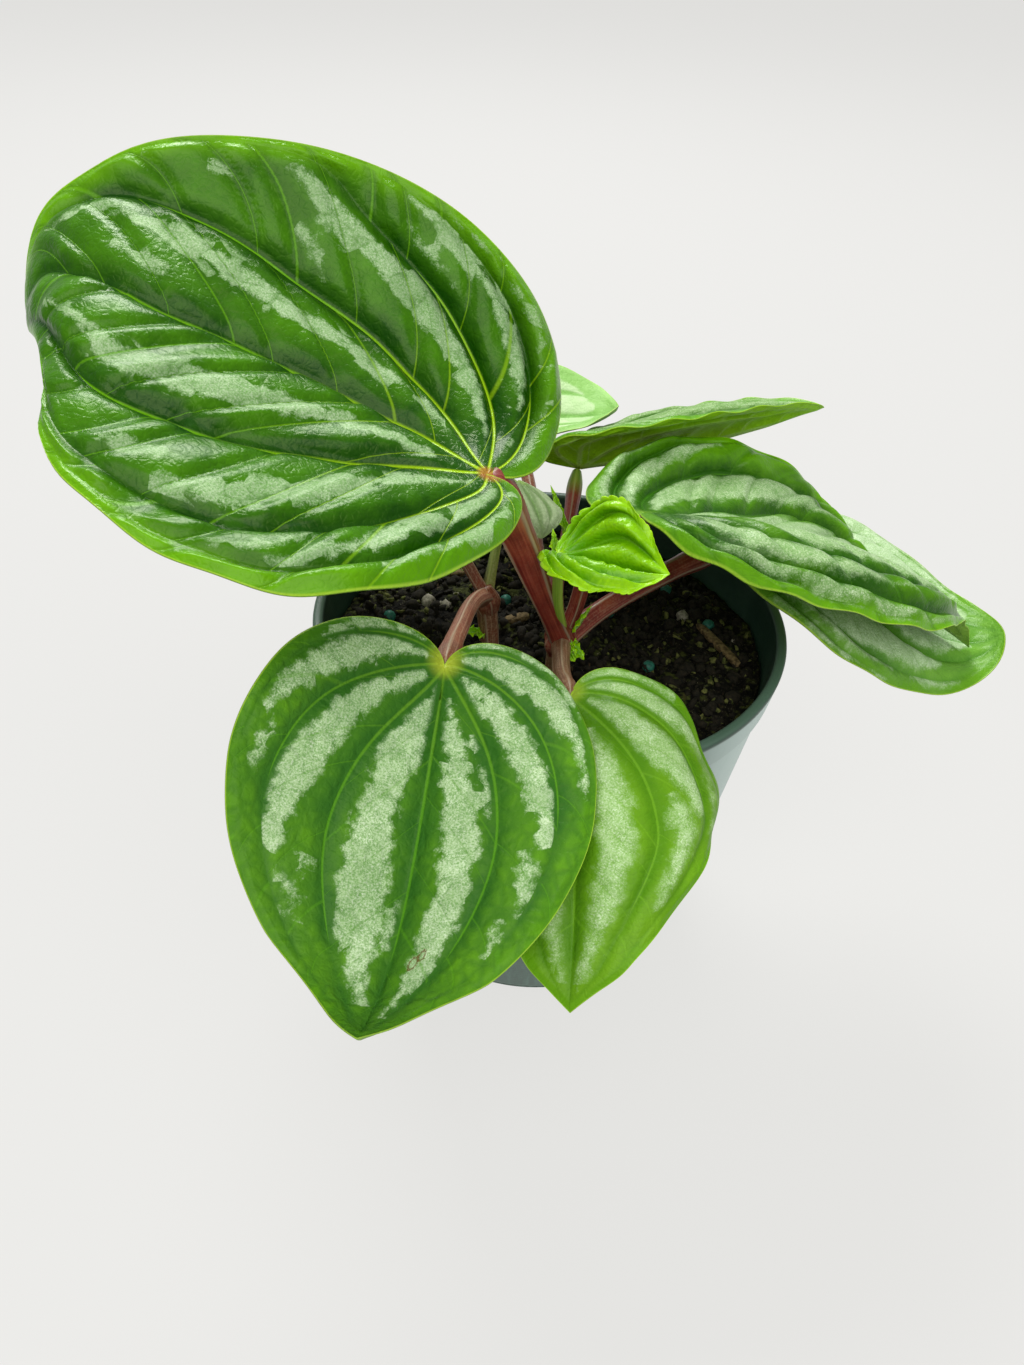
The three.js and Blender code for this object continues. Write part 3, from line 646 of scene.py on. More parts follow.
LEAF_UPPER_LEFT = Blade(
    name="leaf_upper_left", look="glossy",
    base=(-13.5, -32, 135), heading=164, pitch=15, roll=1, twist=-25,
    droop=-40, tip_curl=192, sweep=20, length=88.5, halves=(46, 45.3),
    fold=(-5, -5), curl=(15, 65), lobes=(0.19, 0.15), widest=0.3, shoulder=0.35,
    lobe_rise=(-0.15, 0.1), tip_bulge=(1.3, 1), tip_back=0.12, tip_width=0.42,
    quilt=2, waves=7, wave_height=0.4, thickness=1, rows=220, cells=17, rib_spacing=9.5,
    pucker=0.95, vein_ends=(0.95, 0.62, 0.42), drip=-0.03,
    midrib=((0, 0), (0.1, -0.11), (0.25, -0.1), (0.5, -0.03), (0.7, 0.01), (0.8, -0.1), (0.9, -0.3),
            (1, -0.35)),
    left_veins=(
        ((0, 0.2), (0.1, 0.29), (0.3, 0.38), (0.5, 0.456), (0.7, 0.53), (1, 0.5)),
        ((0, 0.55), (0.1, 0.63), (0.3, 0.725), (0.5, 0.79), (0.7, 0.85), (1, 0.84)),
        ((0, 0.78), (0.1, 0.83), (0.3, 0.89), (0.6, 0.94), (1, 0.95)),
    ),
    right_veins=(
        ((0, 0.25), (0.1, 0.303), (0.3, 0.357), (0.5, 0.412), (0.6, 0.49), (0.7, 0.58), (0.8, 0.72),
         (1, 0.8)),
        ((0, 0.5), (0.1, 0.596), (0.3, 0.67), (0.4, 0.71), (0.5, 0.78), (0.6, 0.92), (0.7, 0.96),
         (1, 0.97)),
        ((0, 0.72), (0.1, 0.8), (0.2, 0.855), (0.4, 0.915), (0.5, 0.96), (0.6, 0.985), (1, 0.99)),
    ),
    bands=(
        Band(1, ((4, 60, 15), (12, 60, 18), (20, 55, 12), (35, 55, 16), (50, 66, 18), (70, 68, 14),
                 (86, 60, 8))),
        Band(2, ((3, 50, 22), (20, 46, 20), (30, 60, 16), (40, 70, 16), (53, 92, 6))),
        Band(2, ((46, 42, 4), (56, 62, 14), (66, 86, 5)), 0.9),
        Band(3, ((3, 45, 26), (20, 55, 30), (32, 78, 20), (40, 95, 8))),
        Band(3, ((28, 20, 4), (38, 55, 16), (47, 90, 6)), 0.8),
        Band(4, ((4, 45, 20), (15, 50, 32), (30, 45, 8))),
        Band(-1, ((4, 62, 10), (20, 58, 15), (40, 57, 17), (55, 62, 20), (68, 72, 15), (80, 72, 11),
                  (88, 75, 4))),
        Band(-1, ((62, 28, 3), (70, 34, 10), (78, 36, 9), (86, 36, 3)), 0.85),
        Band(-2, ((3, 75, 12), (20, 68, 22), (35, 74, 22), (50, 76, 20), (62, 85, 6))),
        Band(-2, ((42, 15, 4), (52, 40, 10), (58, 50, 4)), 0.6),
        Band(-2, ((63, 60, 5), (69, 68, 14), (76, 85, 5)), 0.8),
        Band(-3, ((4, 60, 18), (20, 72, 26), (35, 82, 22), (50, 90, 15))),
        Band(-3, ((30, 20, 5), (40, 35, 20), (48, 50, 5)), 0.55),
        Band(-4, ((5, 40, 15), (20, 50, 25), (45, 50, 8)), 0.7),
    ),
)

LEAF_FRONT_LEFT = Blade(
    name="leaf_front_left", look="silvery",
    base=(-19.5, -41.5, 102), heading=-94, pitch=-28, roll=-10, twist=15,
    droop=0, tip_curl=-70, sweep=-5, length=67.5, halves=(29.5, 34),
    fold=(20, 20), curl=(-30, 20), lobes=(0.15, 0.15), widest=0.35, shoulder=0.2,
    tip_back=0.1, tip_width=0.6, quilt=0.5, waves=6, wave_height=0.2, thickness=1,
    rows=170, cells=15, rib_spacing=10, pucker=0.2, vein_ends=(0.98, 0.7, 0.4), drip=0.035,
    marks=((0.3, 0.745, 0.7), (0.26, 0.768, 0.9)),
    midrib=((0, 0.02), (0.2, 0.01), (0.5, 0.02), (0.7, 0.03), (1, 0)),
    left_veins=USUAL_VEINS[:2] + (((0, 0.84), (0.1, 0.89), (0.2, 0.93), (0.4, 0.96), (1, 0.97)),),
    right_veins=USUAL_VEINS[:2] + (((0, 0.84), (0.1, 0.885), (0.2, 0.92), (0.4, 0.95), (1, 0.97)),),
    bands=(
        Band(1, ((9, 42, 10), (20, 45, 18), (35, 50, 22), (50, 58, 20), (70, 64, 22),
                 (90, 70, 10))),
        Band(1, ((19, 82, 6), (30, 84, 13), (42, 92, 5)), 0.55),
        Band(2, ((5, 50, 15), (12, 52, 22), (25, 52, 22), (40, 74, 20), (50, 92, 14))),
        Band(2, ((49, 50, 6), (57, 70, 13), (65, 95, 5)), 0.9),
        Band(2, ((64, 55, 5), (69, 75, 10), (74, 95, 4)), 0.7),
        Band(3, ((3, 50, 20), (10, 60, 34), (22, 62, 32), (33, 75, 20), (44, 80, 8))),
        Band(4, ((5, 50, 30), (13, 60, 40), (28, 50, 10))),
        Band(-1, ((5, 20, 14), (14, 45, 30), (22, 50, 34), (35, 52, 19), (50, 53, 24), (70, 55, 28),
                  (88, 55, 10))),
        Band(-1, ((62, 12, 6), (68, 16, 10), (75, 14, 5)), 0.5),
        Band(-2, ((5, 60, 16), (20, 63, 18), (35, 60, 23), (50, 75, 20), (60, 90, 6))),
        Band(-2, ((56, 25, 6), (65, 60, 15), (73, 85, 5)), 0.55),
        Band(-3, ((4, 65, 20), (15, 60, 30), (30, 62, 20), (40, 75, 8))),
        Band(-3, ((39, 45, 6), (44, 50, 16), (49, 40, 5)), 0.8),
        Band(-4, ((5, 50, 25), (14, 50, 35), (25, 50, 10))),
    ),
)

LEAF_FRONT_RIGHT = Blade(
    name="leaf_front_right", look="limey",
    base=(3.5, -38.5, 94), heading=-86, pitch=-9, roll=14, twist=10,
    droop=50, tip_curl=-35, sweep=-5, length=59, halves=(30.5, 26),
    fold=(10, 14), curl=(-85, -15), lobes=(0.2, 0.2), widest=0.3, shoulder=0.15,
    tip_back=0.15, tip_width=0.3, quilt=0.6, waves=5, wave_height=0.7, thickness=1,
    rows=150, cells=14, rib_spacing=9, pucker=0.2, vein_ends=(0.95, 0.7, 0.4), drip=-0.035,
    bands=both_sides(
        Band(1, ((14, 50, 10), (30, 50, 19), (50, 50, 18), (70, 52, 18), (92, 50, 7)), 0.9),
        Band(2, ((5, 45, 14), (15, 45, 28), (30, 55, 28), (40, 75, 18), (47, 88, 8))),
        Band(2, ((38, 30, 5), (48, 42, 20), (60, 55, 20), (72, 75, 6)), 0.75),
        Band(3, ((4, 40, 20), (12, 50, 35), (22, 45, 32), (36, 75, 10))),
        Band(3, ((37, 40, 5), (45, 50, 18), (54, 60, 5)), 0.6),
        Band(4, ((4, 40, 20), (12, 40, 30), (24, 30, 10))),
    ),
)

LEAF_RIGHT = Blade(
    name="leaf_right", look="glossy_pale",
    base=(17, -10, 116), heading=8, pitch=-7, roll=-29, twist=0,
    droop=40, tip_curl=0, sweep=0, length=86, halves=(40, 28.5),
    fold=(5, 10), curl=(55, -65), lobes=(0.24, 0.08), widest=0.35, shoulder=0.4,
    tip_back=0.35, tip_width=0.5, quilt=1.8, waves=9, wave_height=0.6, thickness=1,
    rows=190, cells=16, rib_spacing=9, pucker=0.9, vein_ends=(0.9, 0.75, 0.5),
    left_veins=(
        ((0, 0.16), (0.1, 0.24), (0.2, 0.3), (0.3, 0.36), (0.45, 0.49), (0.7, 0.58), (1, 0.6)),
        ((0, 0.5), (0.1, 0.6), (0.2, 0.66), (0.3, 0.7), (0.45, 0.75), (0.7, 0.8), (1, 0.82)),
        ((0, 0.7), (0.12, 0.81), (0.3, 0.91), (0.45, 0.96), (1, 0.98)),
    ),
    right_veins=(
        ((0, 0.2), (0.1, 0.33), (0.2, 0.42), (0.4, 0.5), (1, 0.52)),
        ((0, 0.5), (0.1, 0.65), (0.2, 0.74), (0.4, 0.76), (1, 0.8)),
        ((0, 0.76), (0.1, 0.84), (0.3, 0.9), (1, 0.95)),
    ),
    bands=(
        Band(1, ((5, 50, 20), (30, 45, 33), (50, 49, 30), (70, 54, 28), (86, 50, 10))),
        Band(2, ((5, 60, 15), (10, 62, 26), (20, 60, 30), (30, 55, 33), (42, 50, 38), (52, 55, 34),
                 (62, 50, 8))),
        Band(3, ((5, 50, 15), (10, 52, 30), (20, 55, 32), (32, 65, 26), (43, 80, 8))),
        Band(4, ((6, 35, 15), (14, 40, 25), (25, 55, 20), (34, 60, 6))),
        Band(-1, ((20, 50, 12), (36, 50, 36), (60, 50, 38), (72, 55, 25), (84, 60, 8))),
        Band(-2, ((6, 50, 15), (20, 60, 30), (30, 60, 30), (40, 60, 26), (50, 62, 16),
                  (58, 60, 5))),
        Band(-3, ((20, 70, 15), (28, 70, 40), (35, 70, 15))),
        Band(-3, ((34, 70, 15), (42, 70, 42), (48, 70, 15))),
        Band(-3, ((47, 70, 15), (53, 72, 40), (60, 70, 10))),
        Band(-3, ((59, 70, 10), (64, 75, 35), (72, 70, 8))),
        Band(-4, ((20, 20, 20), (40, 25, 30), (60, 20, 20)), 0.8),
    ),
)

LEAF_RIGHT_UNDER = Blade(
    name="leaf_right_under", look="silvery_far",
    base=(37.5, 14.1, 95.3), heading=-8, pitch=0, roll=-27, twist=35,
    droop=65, tip_curl=-135, sweep=-5, length=68.5, halves=(37.5, 32),
    fold=(0, 5), curl=(15, -30), lobes=(0.05, 0.05), widest=0.35, shoulder=0.2,
    tip_back=0, tip_width=0.4, quilt=1.3, waves=6, wave_height=0.3, thickness=1,
    rows=160, cells=14, rib_spacing=9, pucker=0.45,
    right_veins=(
        ((0, 0.16), (0.2, 0.3), (0.4, 0.38), (0.7, 0.45), (1, 0.46)),
        ((0, 0.5), (0.2, 0.7), (0.4, 0.8), (0.6, 0.8), (1, 0.8)),
        ((0, 0.76), (0.1, 0.84), (0.3, 0.91), (1, 0.95)),
    ),
    bands=(
        Band(1, ((10, 50, 20), (40, 50, 35), (62, 50, 20), (70, 50, 5))),
        Band(1, ((74, 10, 8), (81, 12, 16), (87, 10, 5))),
        Band(2, ((10, 50, 25), (40, 50, 42), (70, 50, 40), (85, 50, 10))),
        Band(3, ((10, 50, 25), (40, 50, 50), (70, 50, 40), (82, 50, 10))),
        Band(4, ((10, 50, 25), (40, 50, 60), (70, 50, 50), (80, 50, 10))),
        Band(-1, ((10, 50, 10), (30, 50, 30), (50, 60, 20), (68, 50, 36), (78, 36, 40),
                  (88, 30, 10))),
        Band(-2, ((10, 50, 15), (27, 58, 36), (35, 58, 42), (45, 50, 44), (55, 46, 40),
                  (66, 44, 34), (76, 42, 8))),
        Band(-3, ((12, 40, 15), (30, 40, 30), (50, 40, 25), (60, 30, 8)), 0.85),
        Band(-3, ((66, 30, 6), (74, 40, 30), (82, 40, 6)), 0.8),
        Band(-4, ((30, 50, 10), (45, 40, 30), (60, 50, 10)), 0.7),
    ),
)

LEAF_BACK_RIGHT = Blade(
    name="leaf_back_right", look="olive",
    base=(5, 34.2, 101.8), heading=6, pitch=13, roll=-19, twist=10,
    droop=-10, tip_curl=10, sweep=0, length=57.5, halves=(22.5, 23.5),
    fold=(25, 44), curl=(-25, -30), lobes=(0.08, 0.3), widest=0.3, shoulder=0.1,
    lobe_rise=(0.1, 0.45),
    tip_back=0.05, tip_width=0.3, quilt=0.8, waves=8, wave_height=0.4, thickness=0.9,
    rows=130, cells=12, rib_spacing=8, pucker=0.35,
    bands=(
        Band(2, ((25, 60, 10), (40, 60, 40), (80, 50, 40), (95, 50, 10))),
        Band(3, ((10, 60, 20), (30, 50, 40), (80, 50, 50), (93, 50, 10))),
        Band(4, ((10, 60, 30), (30, 50, 50), (80, 50, 60), (92, 50, 10))),
        Band(-2, ((10, 50, 20), (30, 50, 30), (60, 70, 10))),
        Band(-3, ((10, 50, 20), (25, 50, 35), (45, 70, 10))),
    ),
)

LEAF_SMALL_CENTRE = Blade(
    name="leaf_small_centre", look="grey",
    base=(-8.5, 14, 108.5), heading=-66, pitch=2, roll=-22, twist=10,
    droop=30, tip_curl=55, sweep=-5, length=17, halves=(8, 6),
    fold=(-5, 5), curl=(-5, -15), lobes=(0.25, 0.25), widest=0.4, shoulder=0.3,
    tip_back=0.05, tip_width=0.45, quilt=0.3, waves=4, wave_height=0.1, thickness=0.8,
    rows=80, cells=8, rib_spacing=4, pucker=0.05, vein_ends=(0.9, 0.3, 0.2),
    bands=both_sides(
        Band(1, ((5, 55, 20), (30, 55, 42), (80, 60, 50), (97, 60, 20))),
        Band(2, ((5, 50, 40), (30, 50, 60), (80, 50, 60), (97, 50, 20))),
        Band(3, ((5, 50, 50), (30, 50, 60), (80, 50, 60), (97, 50, 20))),
        Band(4, ((5, 40, 50), (30, 50, 60), (80, 50, 60), (97, 50, 20))),
    ),
)

LEAF_NEW = Blade(
    name="leaf_new", look="young",
    base=(0, -23, 114.5), heading=-29, pitch=7, roll=-29, twist=35,
    droop=10, tip_curl=-25, sweep=15, length=21, halves=(12.5, 9.5),
    fold=(45, 15), curl=(50, -45), lobes=(0.2, 0.2), widest=0.3, shoulder=0.25,
    tip_back=0.1, tip_width=0.35, quilt=1.8, waves=5, wave_height=0.45, thickness=0.8,
    rows=240, cells=10, rib_spacing=2.8, pucker=1.1, teeth=21, tooth=0.75,
    bands=(),
)

LEAF_BACK = Blade(
    name="leaf_back", look="pale",
    base=(-12.5, 51.5, 104.5), heading=10, pitch=3, roll=18, twist=-25,
    droop=5, tip_curl=-65, sweep=-15, length=28.5, halves=(17.5, 14),
    fold=(20, 15), curl=(-5, 10), lobes=(0.35, 0.35), widest=0.35, shoulder=0.35,
    tip_back=0.05, tip_width=0.55, quilt=0.4, waves=4, wave_height=0.2, thickness=0.9,
    rows=90, cells=9, rib_spacing=6, pucker=0.1, vein_ends=(0.8, 0.5, 0.3),
    bands=both_sides(
        Band(1, ((5, 50, 45), (30, 50, 60), (60, 50, 60), (75, 50, 10))),
        Band(2, ((5, 50, 45), (30, 40, 55), (50, 20, 45), (65, 10, 10))),
    ) + (Band(-4, ((5, 60, 20), (40, 60, 45), (85, 60, 45), (97, 50, 10))),),
)

LEAF_LEFT_UNDER = Blade(
    name="leaf_left_under", look="olive",
    base=(-21, 4, 98), heading=150, pitch=25, roll=5, twist=0,
    droop=35, tip_curl=0, sweep=0, length=40, halves=(17, 18),
    fold=(10, 10), curl=(-20, -20), lobes=(0.25, 0.25), widest=0.35, shoulder=0.3,
    tip_back=0.1, tip_width=0.45, quilt=0.7, waves=5, wave_height=0.2, thickness=0.9,
    rows=90, cells=9, rib_spacing=7, pucker=0.2,
)

BLADES = (
    LEAF_UPPER_LEFT, LEAF_FRONT_LEFT, LEAF_FRONT_RIGHT, LEAF_RIGHT, LEAF_RIGHT_UNDER,
    LEAF_BACK_RIGHT, LEAF_SMALL_CENTRE, LEAF_NEW, LEAF_BACK, LEAF_LEFT_UNDER,
)


@dataclass(frozen=True)
class Look:
    """The colours and gloss of one kind of leaf."""
    slot: str
    deep: tuple  # green beside the veins
    fresh: tuple  # green further off
    margin: tuple
    silver: tuple
    silver_shade: tuple
    vein: tuple
    base_tint: tuple
    underside: tuple
    vein_far: tuple = (0.11, 0.36, 0.008)  # veins half way up the blade
    edge: tuple = (0.36, 0.56, 0.04)
    vein_share: float = 0.6
    base_reach: float = 0.05  # how far up the blade the tint at its base goes
    roughness: float = 0.4
    coat: float = 0.15
    net: float = 0.3  # how strongly green cracks break up the silver
    crease_shade: float = 0.6  # how dark the painted shade along the veins is
    sparkle: float = 0.3  # pale granules in the silver
    margin_mm: float = 3.0
    ragged: float = 3.0  # how far the silver's edge wanders, in millimetres
    block: float = 0.0  # how far the silver follows small cells, in millimetres
    block_size: float = 4.0
    softness: float = 0.8  # of the silver's edge, in millimetres
    cellular: float = 0.12  # how dark the green is between small cells
    trim: float = 0.0  # how much narrower the silver is on each side, in millimetres


LOOKS = {
    "glossy": Look(
        slot="leaf_dark_silver", deep=(0.006, 0.055, 0.0003), fresh=(0.055, 0.2, 0.001),
        margin=(0.13, 0.37, 0.001), silver=(0.37, 0.52, 0.28), silver_shade=(0.17, 0.34, 0.1),
        vein=(0.34, 0.56, 0.005), base_tint=(0.36, 0.12, 0.03), underside=(0.2, 0.36, 0.05),
        vein_far=(0.13, 0.38, 0.002), vein_share=0.9, base_reach=0.022, roughness=0.3, coat=0.22,
        net=0.6, crease_shade=0.9, sparkle=0.25, margin_mm=7, block=2.4, block_size=5.5, softness=0.5,
        trim=0.8),
    "glossy_pale": Look(
        slot="leaf_dark_silver", deep=(0.016, 0.085, 0.002), fresh=(0.11, 0.31, 0.005),
        margin=(0.13, 0.37, 0.002), silver=(0.38, 0.53, 0.27), silver_shade=(0.18, 0.34, 0.11),
        vein=(0.05, 0.2, 0.01), base_tint=(0.2, 0.4, 0.03), underside=(0.24, 0.42, 0.06),
        vein_share=0.3, roughness=0.34, coat=0.3, net=0.3, crease_shade=1.0, sparkle=0.5, margin_mm=5,
        block=0.7, softness=0.9, trim=0.6),
    "silvery": Look(
        slot="leaf_pale_silver", deep=(0.028, 0.125, 0.012), fresh=(0.095, 0.27, 0.01),
        margin=(0.085, 0.26, 0.006), silver=(0.56, 0.73, 0.42), silver_shade=(0.22, 0.4, 0.14),
        vein=(0.17, 0.38, 0.02), base_tint=(0.45, 0.52, 0.04), underside=(0.27, 0.44, 0.1),
        vein_share=0.5, roughness=0.46, coat=0.1, net=0.2, crease_shade=0.2, sparkle=0.8, margin_mm=4,
        ragged=4.2, block=1.4, block_size=3, softness=0.8, cellular=0.38),
    # Lighter than the silvery look, as painted light that offsets the shadow the leaf above casts
    # on this leaf.
    "silvery_far": Look(
        slot="leaf_pale_silver", deep=(0.07, 0.22, 0.02), fresh=(0.15, 0.35, 0.035),
        margin=(0.11, 0.3, 0.01), silver=(0.54, 0.7, 0.43), silver_shade=(0.32, 0.5, 0.23),
        vein=(0.17, 0.38, 0.02), base_tint=(0.45, 0.52, 0.04), underside=(0.27, 0.44, 0.1),
        vein_share=0.3, roughness=0.4, coat=0.2, net=0.2, crease_shade=0.3, sparkle=0.6, margin_mm=4,
        block=0.8, softness=1.1),
    "limey": Look(
        slot="leaf_pale_silver", deep=(0.065, 0.2, 0.004), fresh=(0.14, 0.32, 0.01),
        margin=(0.11, 0.3, 0.004), silver=(0.44, 0.62, 0.3), silver_shade=(0.24, 0.43, 0.12),
        vein=(0.2, 0.42, 0.03), base_tint=(0.36, 0.5, 0.04), underside=(0.32, 0.45, 0.14),
        vein_far=(0.2, 0.45, 0.02), vein_share=0.35, roughness=0.44, coat=0.12, net=0.25,
        crease_shade=0.15, sparkle=0.6, margin_mm=4, block=1.0, softness=1.3),
    # The olive look's underside is painted light: a bright green that stands in for light coming
    # through the backlit leaf.
    "olive": Look(
        slot="leaf_under_green", deep=(0.025, 0.11, 0.001), fresh=(0.07, 0.23, 0.002),
        margin=(0.12, 0.36, 0.001), silver=(0.27, 0.42, 0.17), silver_shade=(0.15, 0.3, 0.07),
        vein=(0.16, 0.4, 0.01), base_tint=(0.3, 0.4, 0.03), underside=(0.3, 0.6, 0.012),
        vein_share=0.5, roughness=0.36, coat=0.2, net=0.4, crease_shade=0.6, margin_mm=5, block=1),
    "pale": Look(
        slot="leaf_pale_silver", deep=(0.2, 0.42, 0.1), fresh=(0.26, 0.5, 0.13),
        margin=(0.3, 0.55, 0.16), silver=(0.56, 0.72, 0.42), silver_shade=(0.5, 0.67, 0.36),
        vein=(0.3, 0.5, 0.15), base_tint=(0.4, 0.5, 0.12), underside=(0.4, 0.55, 0.25),
        vein_share=0.1, roughness=0.5, coat=0.05, net=0.0, crease_shade=0.1, sparkle=0.0),
    "grey": Look(
        slot="leaf_small_silver", deep=(0.15, 0.23, 0.09), fresh=(0.21, 0.29, 0.13),
        margin=(0.2, 0.3, 0.1), silver=(0.35, 0.43, 0.25), silver_shade=(0.28, 0.37, 0.19),
        vein=(0.18, 0.28, 0.1), base_tint=(0.2, 0.34, 0.04), underside=(0.22, 0.36, 0.06),
        edge=(0.24, 0.36, 0.12), vein_share=0.15, base_reach=0.15, roughness=0.46, coat=0.1,
        net=0.0, crease_shade=0.1, sparkle=0.1, margin_mm=1),
    "young": Look(
        slot="leaf_young", deep=(0.085, 0.29, 0.0005), fresh=(0.25, 0.55, 0.002),
        margin=(0.31, 0.63, 0.002), silver=(0.4, 0.7, 0.05), silver_shade=(0.3, 0.6, 0.02),
        vein=(0.3, 0.62, 0.01), base_tint=(0.34, 0.58, 0.01), underside=(0.22, 0.5, 0.01),
        edge=(0.42, 0.74, 0.01), vein_share=0.2, roughness=0.28, coat=0.4, net=0.0, crease_shade=0.3,
        sparkle=0.0, margin_mm=3),
}


GRANULE_COLOUR, SCAR_COLOUR, RIB_COLOUR = (0.74, 0.84, 0.64), (0.13, 0.07, 0.02), (0.4, 0.58, 0.16)


def leaf_finish(blade, settings):
    """Leaf tissue: green shades, ragged grainy silver bands broken by a fine green net, veins with
    painted shade in their creases, a pale edge line, a tinted base, and a plainer underside with
    pale ribs."""
    look = LOOKS[blade.look]
    finish = Finish(blade.name, **{
        "IOR": 1.42, "Specular IOR Level": 0.2, "Specular Tint": (0.8, 1, 0.35, 1),
        "Coat Roughness": 0.22, "Coat IOR": 1.38,
    })
    across, along = finish.map("blade")
    phase, _ = finish.map("net")
    near_side_vein = abs((phase + 0.5).fraction() - 0.5) * (blade.rib_spacing * 0.75)
    half_way = abs(phase.fraction() - 0.5) * (blade.rib_spacing * 0.75)
    vein, silver, edge = (finish.attribute(name) for name in ("vein", "silver", "edge_mm"))
    under = finish.attribute("underside")
    clouds = finish.noise(11, 3)
    blotch = finish.noise(2.6, 3, 0.6)
    grain = finish.noise(0.32, 2, 0.8)
    warped = finish.wavy(5, 2.2)
    walls, tone = finish.cells(look.block_size, warped), finish.cell_tones(look.block_size, warped)

    ragged = silver + (blotch - 0.5) * (look.ragged * settings.raggedness) + (grain - 0.5) * 1.2
    ragged = ragged + (tone - 0.5) * look.block - look.trim
    inside = ragged.step(-look.softness, look.softness)
    wander = (blotch - 0.5) * 1.8
    cracks = near_side_vein.low(half_way + 0.35) + wander
    cracks = cracks.step(-0.1, 0.6, 1, 0)
    cracks = cracks.high((walls + (blotch - 0.4) * 0.2).step(0.0, 0.07, 0.7, 0))
    broken = cracks * along.step(0.08, 0.3, 0.4, 1) * look.net
    off_vein = vein.step(0.8, 2.2)
    thin = clouds.step(0.25, 0.65, 0.72, 1) * (1 - (tone - 0.4) * 0.35)
    inside = inside * (1 - broken) * off_vein * thin.low(1) * settings.silver_strength

    beside_vein = vein.step(0.6, 1 + 0.08 * blade.length)
    mottle = (clouds - 0.42) * 1.4 + (blotch - 0.5) * 0.7
    green = finish.mix(beside_vein * 0.6 + mottle, look.deep, look.fresh)
    at_margin = (edge + (clouds - 0.5) * 8).step(0, look.margin_mm, 1, 0)
    green = finish.mix(at_margin * along.step(0.1, 0.6, 0.45, 1), green, look.margin)
    # painted shade: the green is darkened towards the deep green in the creases along the main and
    # side veins
    crease_shade = vein.step(0.5, 2.2, 0.75, 0).high(near_side_vein.step(0.15, 1.0, 0.35, 0))
    green = finish.mix(walls.step(0, 0.3, look.cellular, 0), green, look.deep)
    green = finish.mix(crease_shade * look.crease_shade, green, look.deep)
    granules = (grain * 1.9 + blotch * 0.6 - 0.75).step(0.15, 0.75)
    silvered = finish.mix(granules, look.silver_shade, look.silver)
    silvered = finish.mix(grain.step(0.55, 0.68, 0, look.sparkle), silvered, GRANULE_COLOUR)
    colour = finish.mix(inside, green, silvered)
    line_colour = finish.mix(along.step(0.04, 0.5), look.vein, look.vein_far)
    side_line = near_side_vein.step(0.04, 0.22, 0.5 * look.vein_share, 0)
    main_line = vein.step(0.14, 0.56, look.vein_share, 0)
    colour = finish.mix(side_line.high(main_line), colour, line_colour)
    at_base = (along + (clouds - 0.5) * 0.02).step(0.006, look.base_reach, 0.85, 0)
    colour = finish.mix(at_base, colour, look.base_tint)
    colour = finish.mix(edge.step(0.05, 0.3, 0.7, 0), colour, look.edge)
    for place, reach, radius in blade.marks:
        half = blade.halves[0] if place > 0 else blade.halves[1]
        aside, ahead = (across - place) * half, (along - reach) * blade.length
        far = (aside * aside + ahead * ahead * 0.6) ** 0.5 + (grain - 0.5) * 1.2
        ring = abs(far - radius).step(0.05, 0.28, 0.85, 0)
        colour = finish.mix(ring, colour, SCAR_COLOUR)
    shaded = tuple(0.65 * part for part in look.underside)
    below = finish.mix((clouds - 0.35) * 2 + (blotch - 0.5), shaded, look.underside)
    ribs = vein.step(0.3, 1.4, 0.7, 0).high(near_side_vein.step(0.1, 0.5, 0.35, 0))
    below = finish.mix(ribs, below, RIB_COLOUR)
    below = finish.mix(at_base, below, look.base_tint)
    finish.set(Base_Color=finish.mix(under, colour, below))

    roughness = inside * 0.14 + (grain - 0.5) * 0.12 + under * 0.12 + look.roughness
    finish.set(Roughness=roughness, Coat_Weight=(1 - under) * (1 - inside * 0.55) * look.coat)
    dimples = finish.cells(1.2).step(0, 0.25)
    height = main_line.high(side_line) * -0.7 + dimples * 0.2 + grain * (inside * 0.4 + 0.12)
    height = height + blotch * 0.8 + walls.step(0, 0.3, 0, look.cellular + look.block * 0.15)
    finish.set(Normal=finish.bump(height, 0.6, 0.4))
    return finish.material


# ---------------------------------------------------------------- rods: stems and stalks

@dataclass(frozen=True)
class Rod:
    """A fleshy stalk: its middle line's points, its radius along it, and its lengthwise ridges."""
    path: tuple
    radii: tuple  # (share of its length, radius) nodes
    red: float = 1.0  # how red it is, from 0 to 1
    fresh: tuple = ((0, 0), (1, 0))  # (share of its length, how green it is there) nodes
    ridges: int = 4
    ridge_depth: float = 0.12


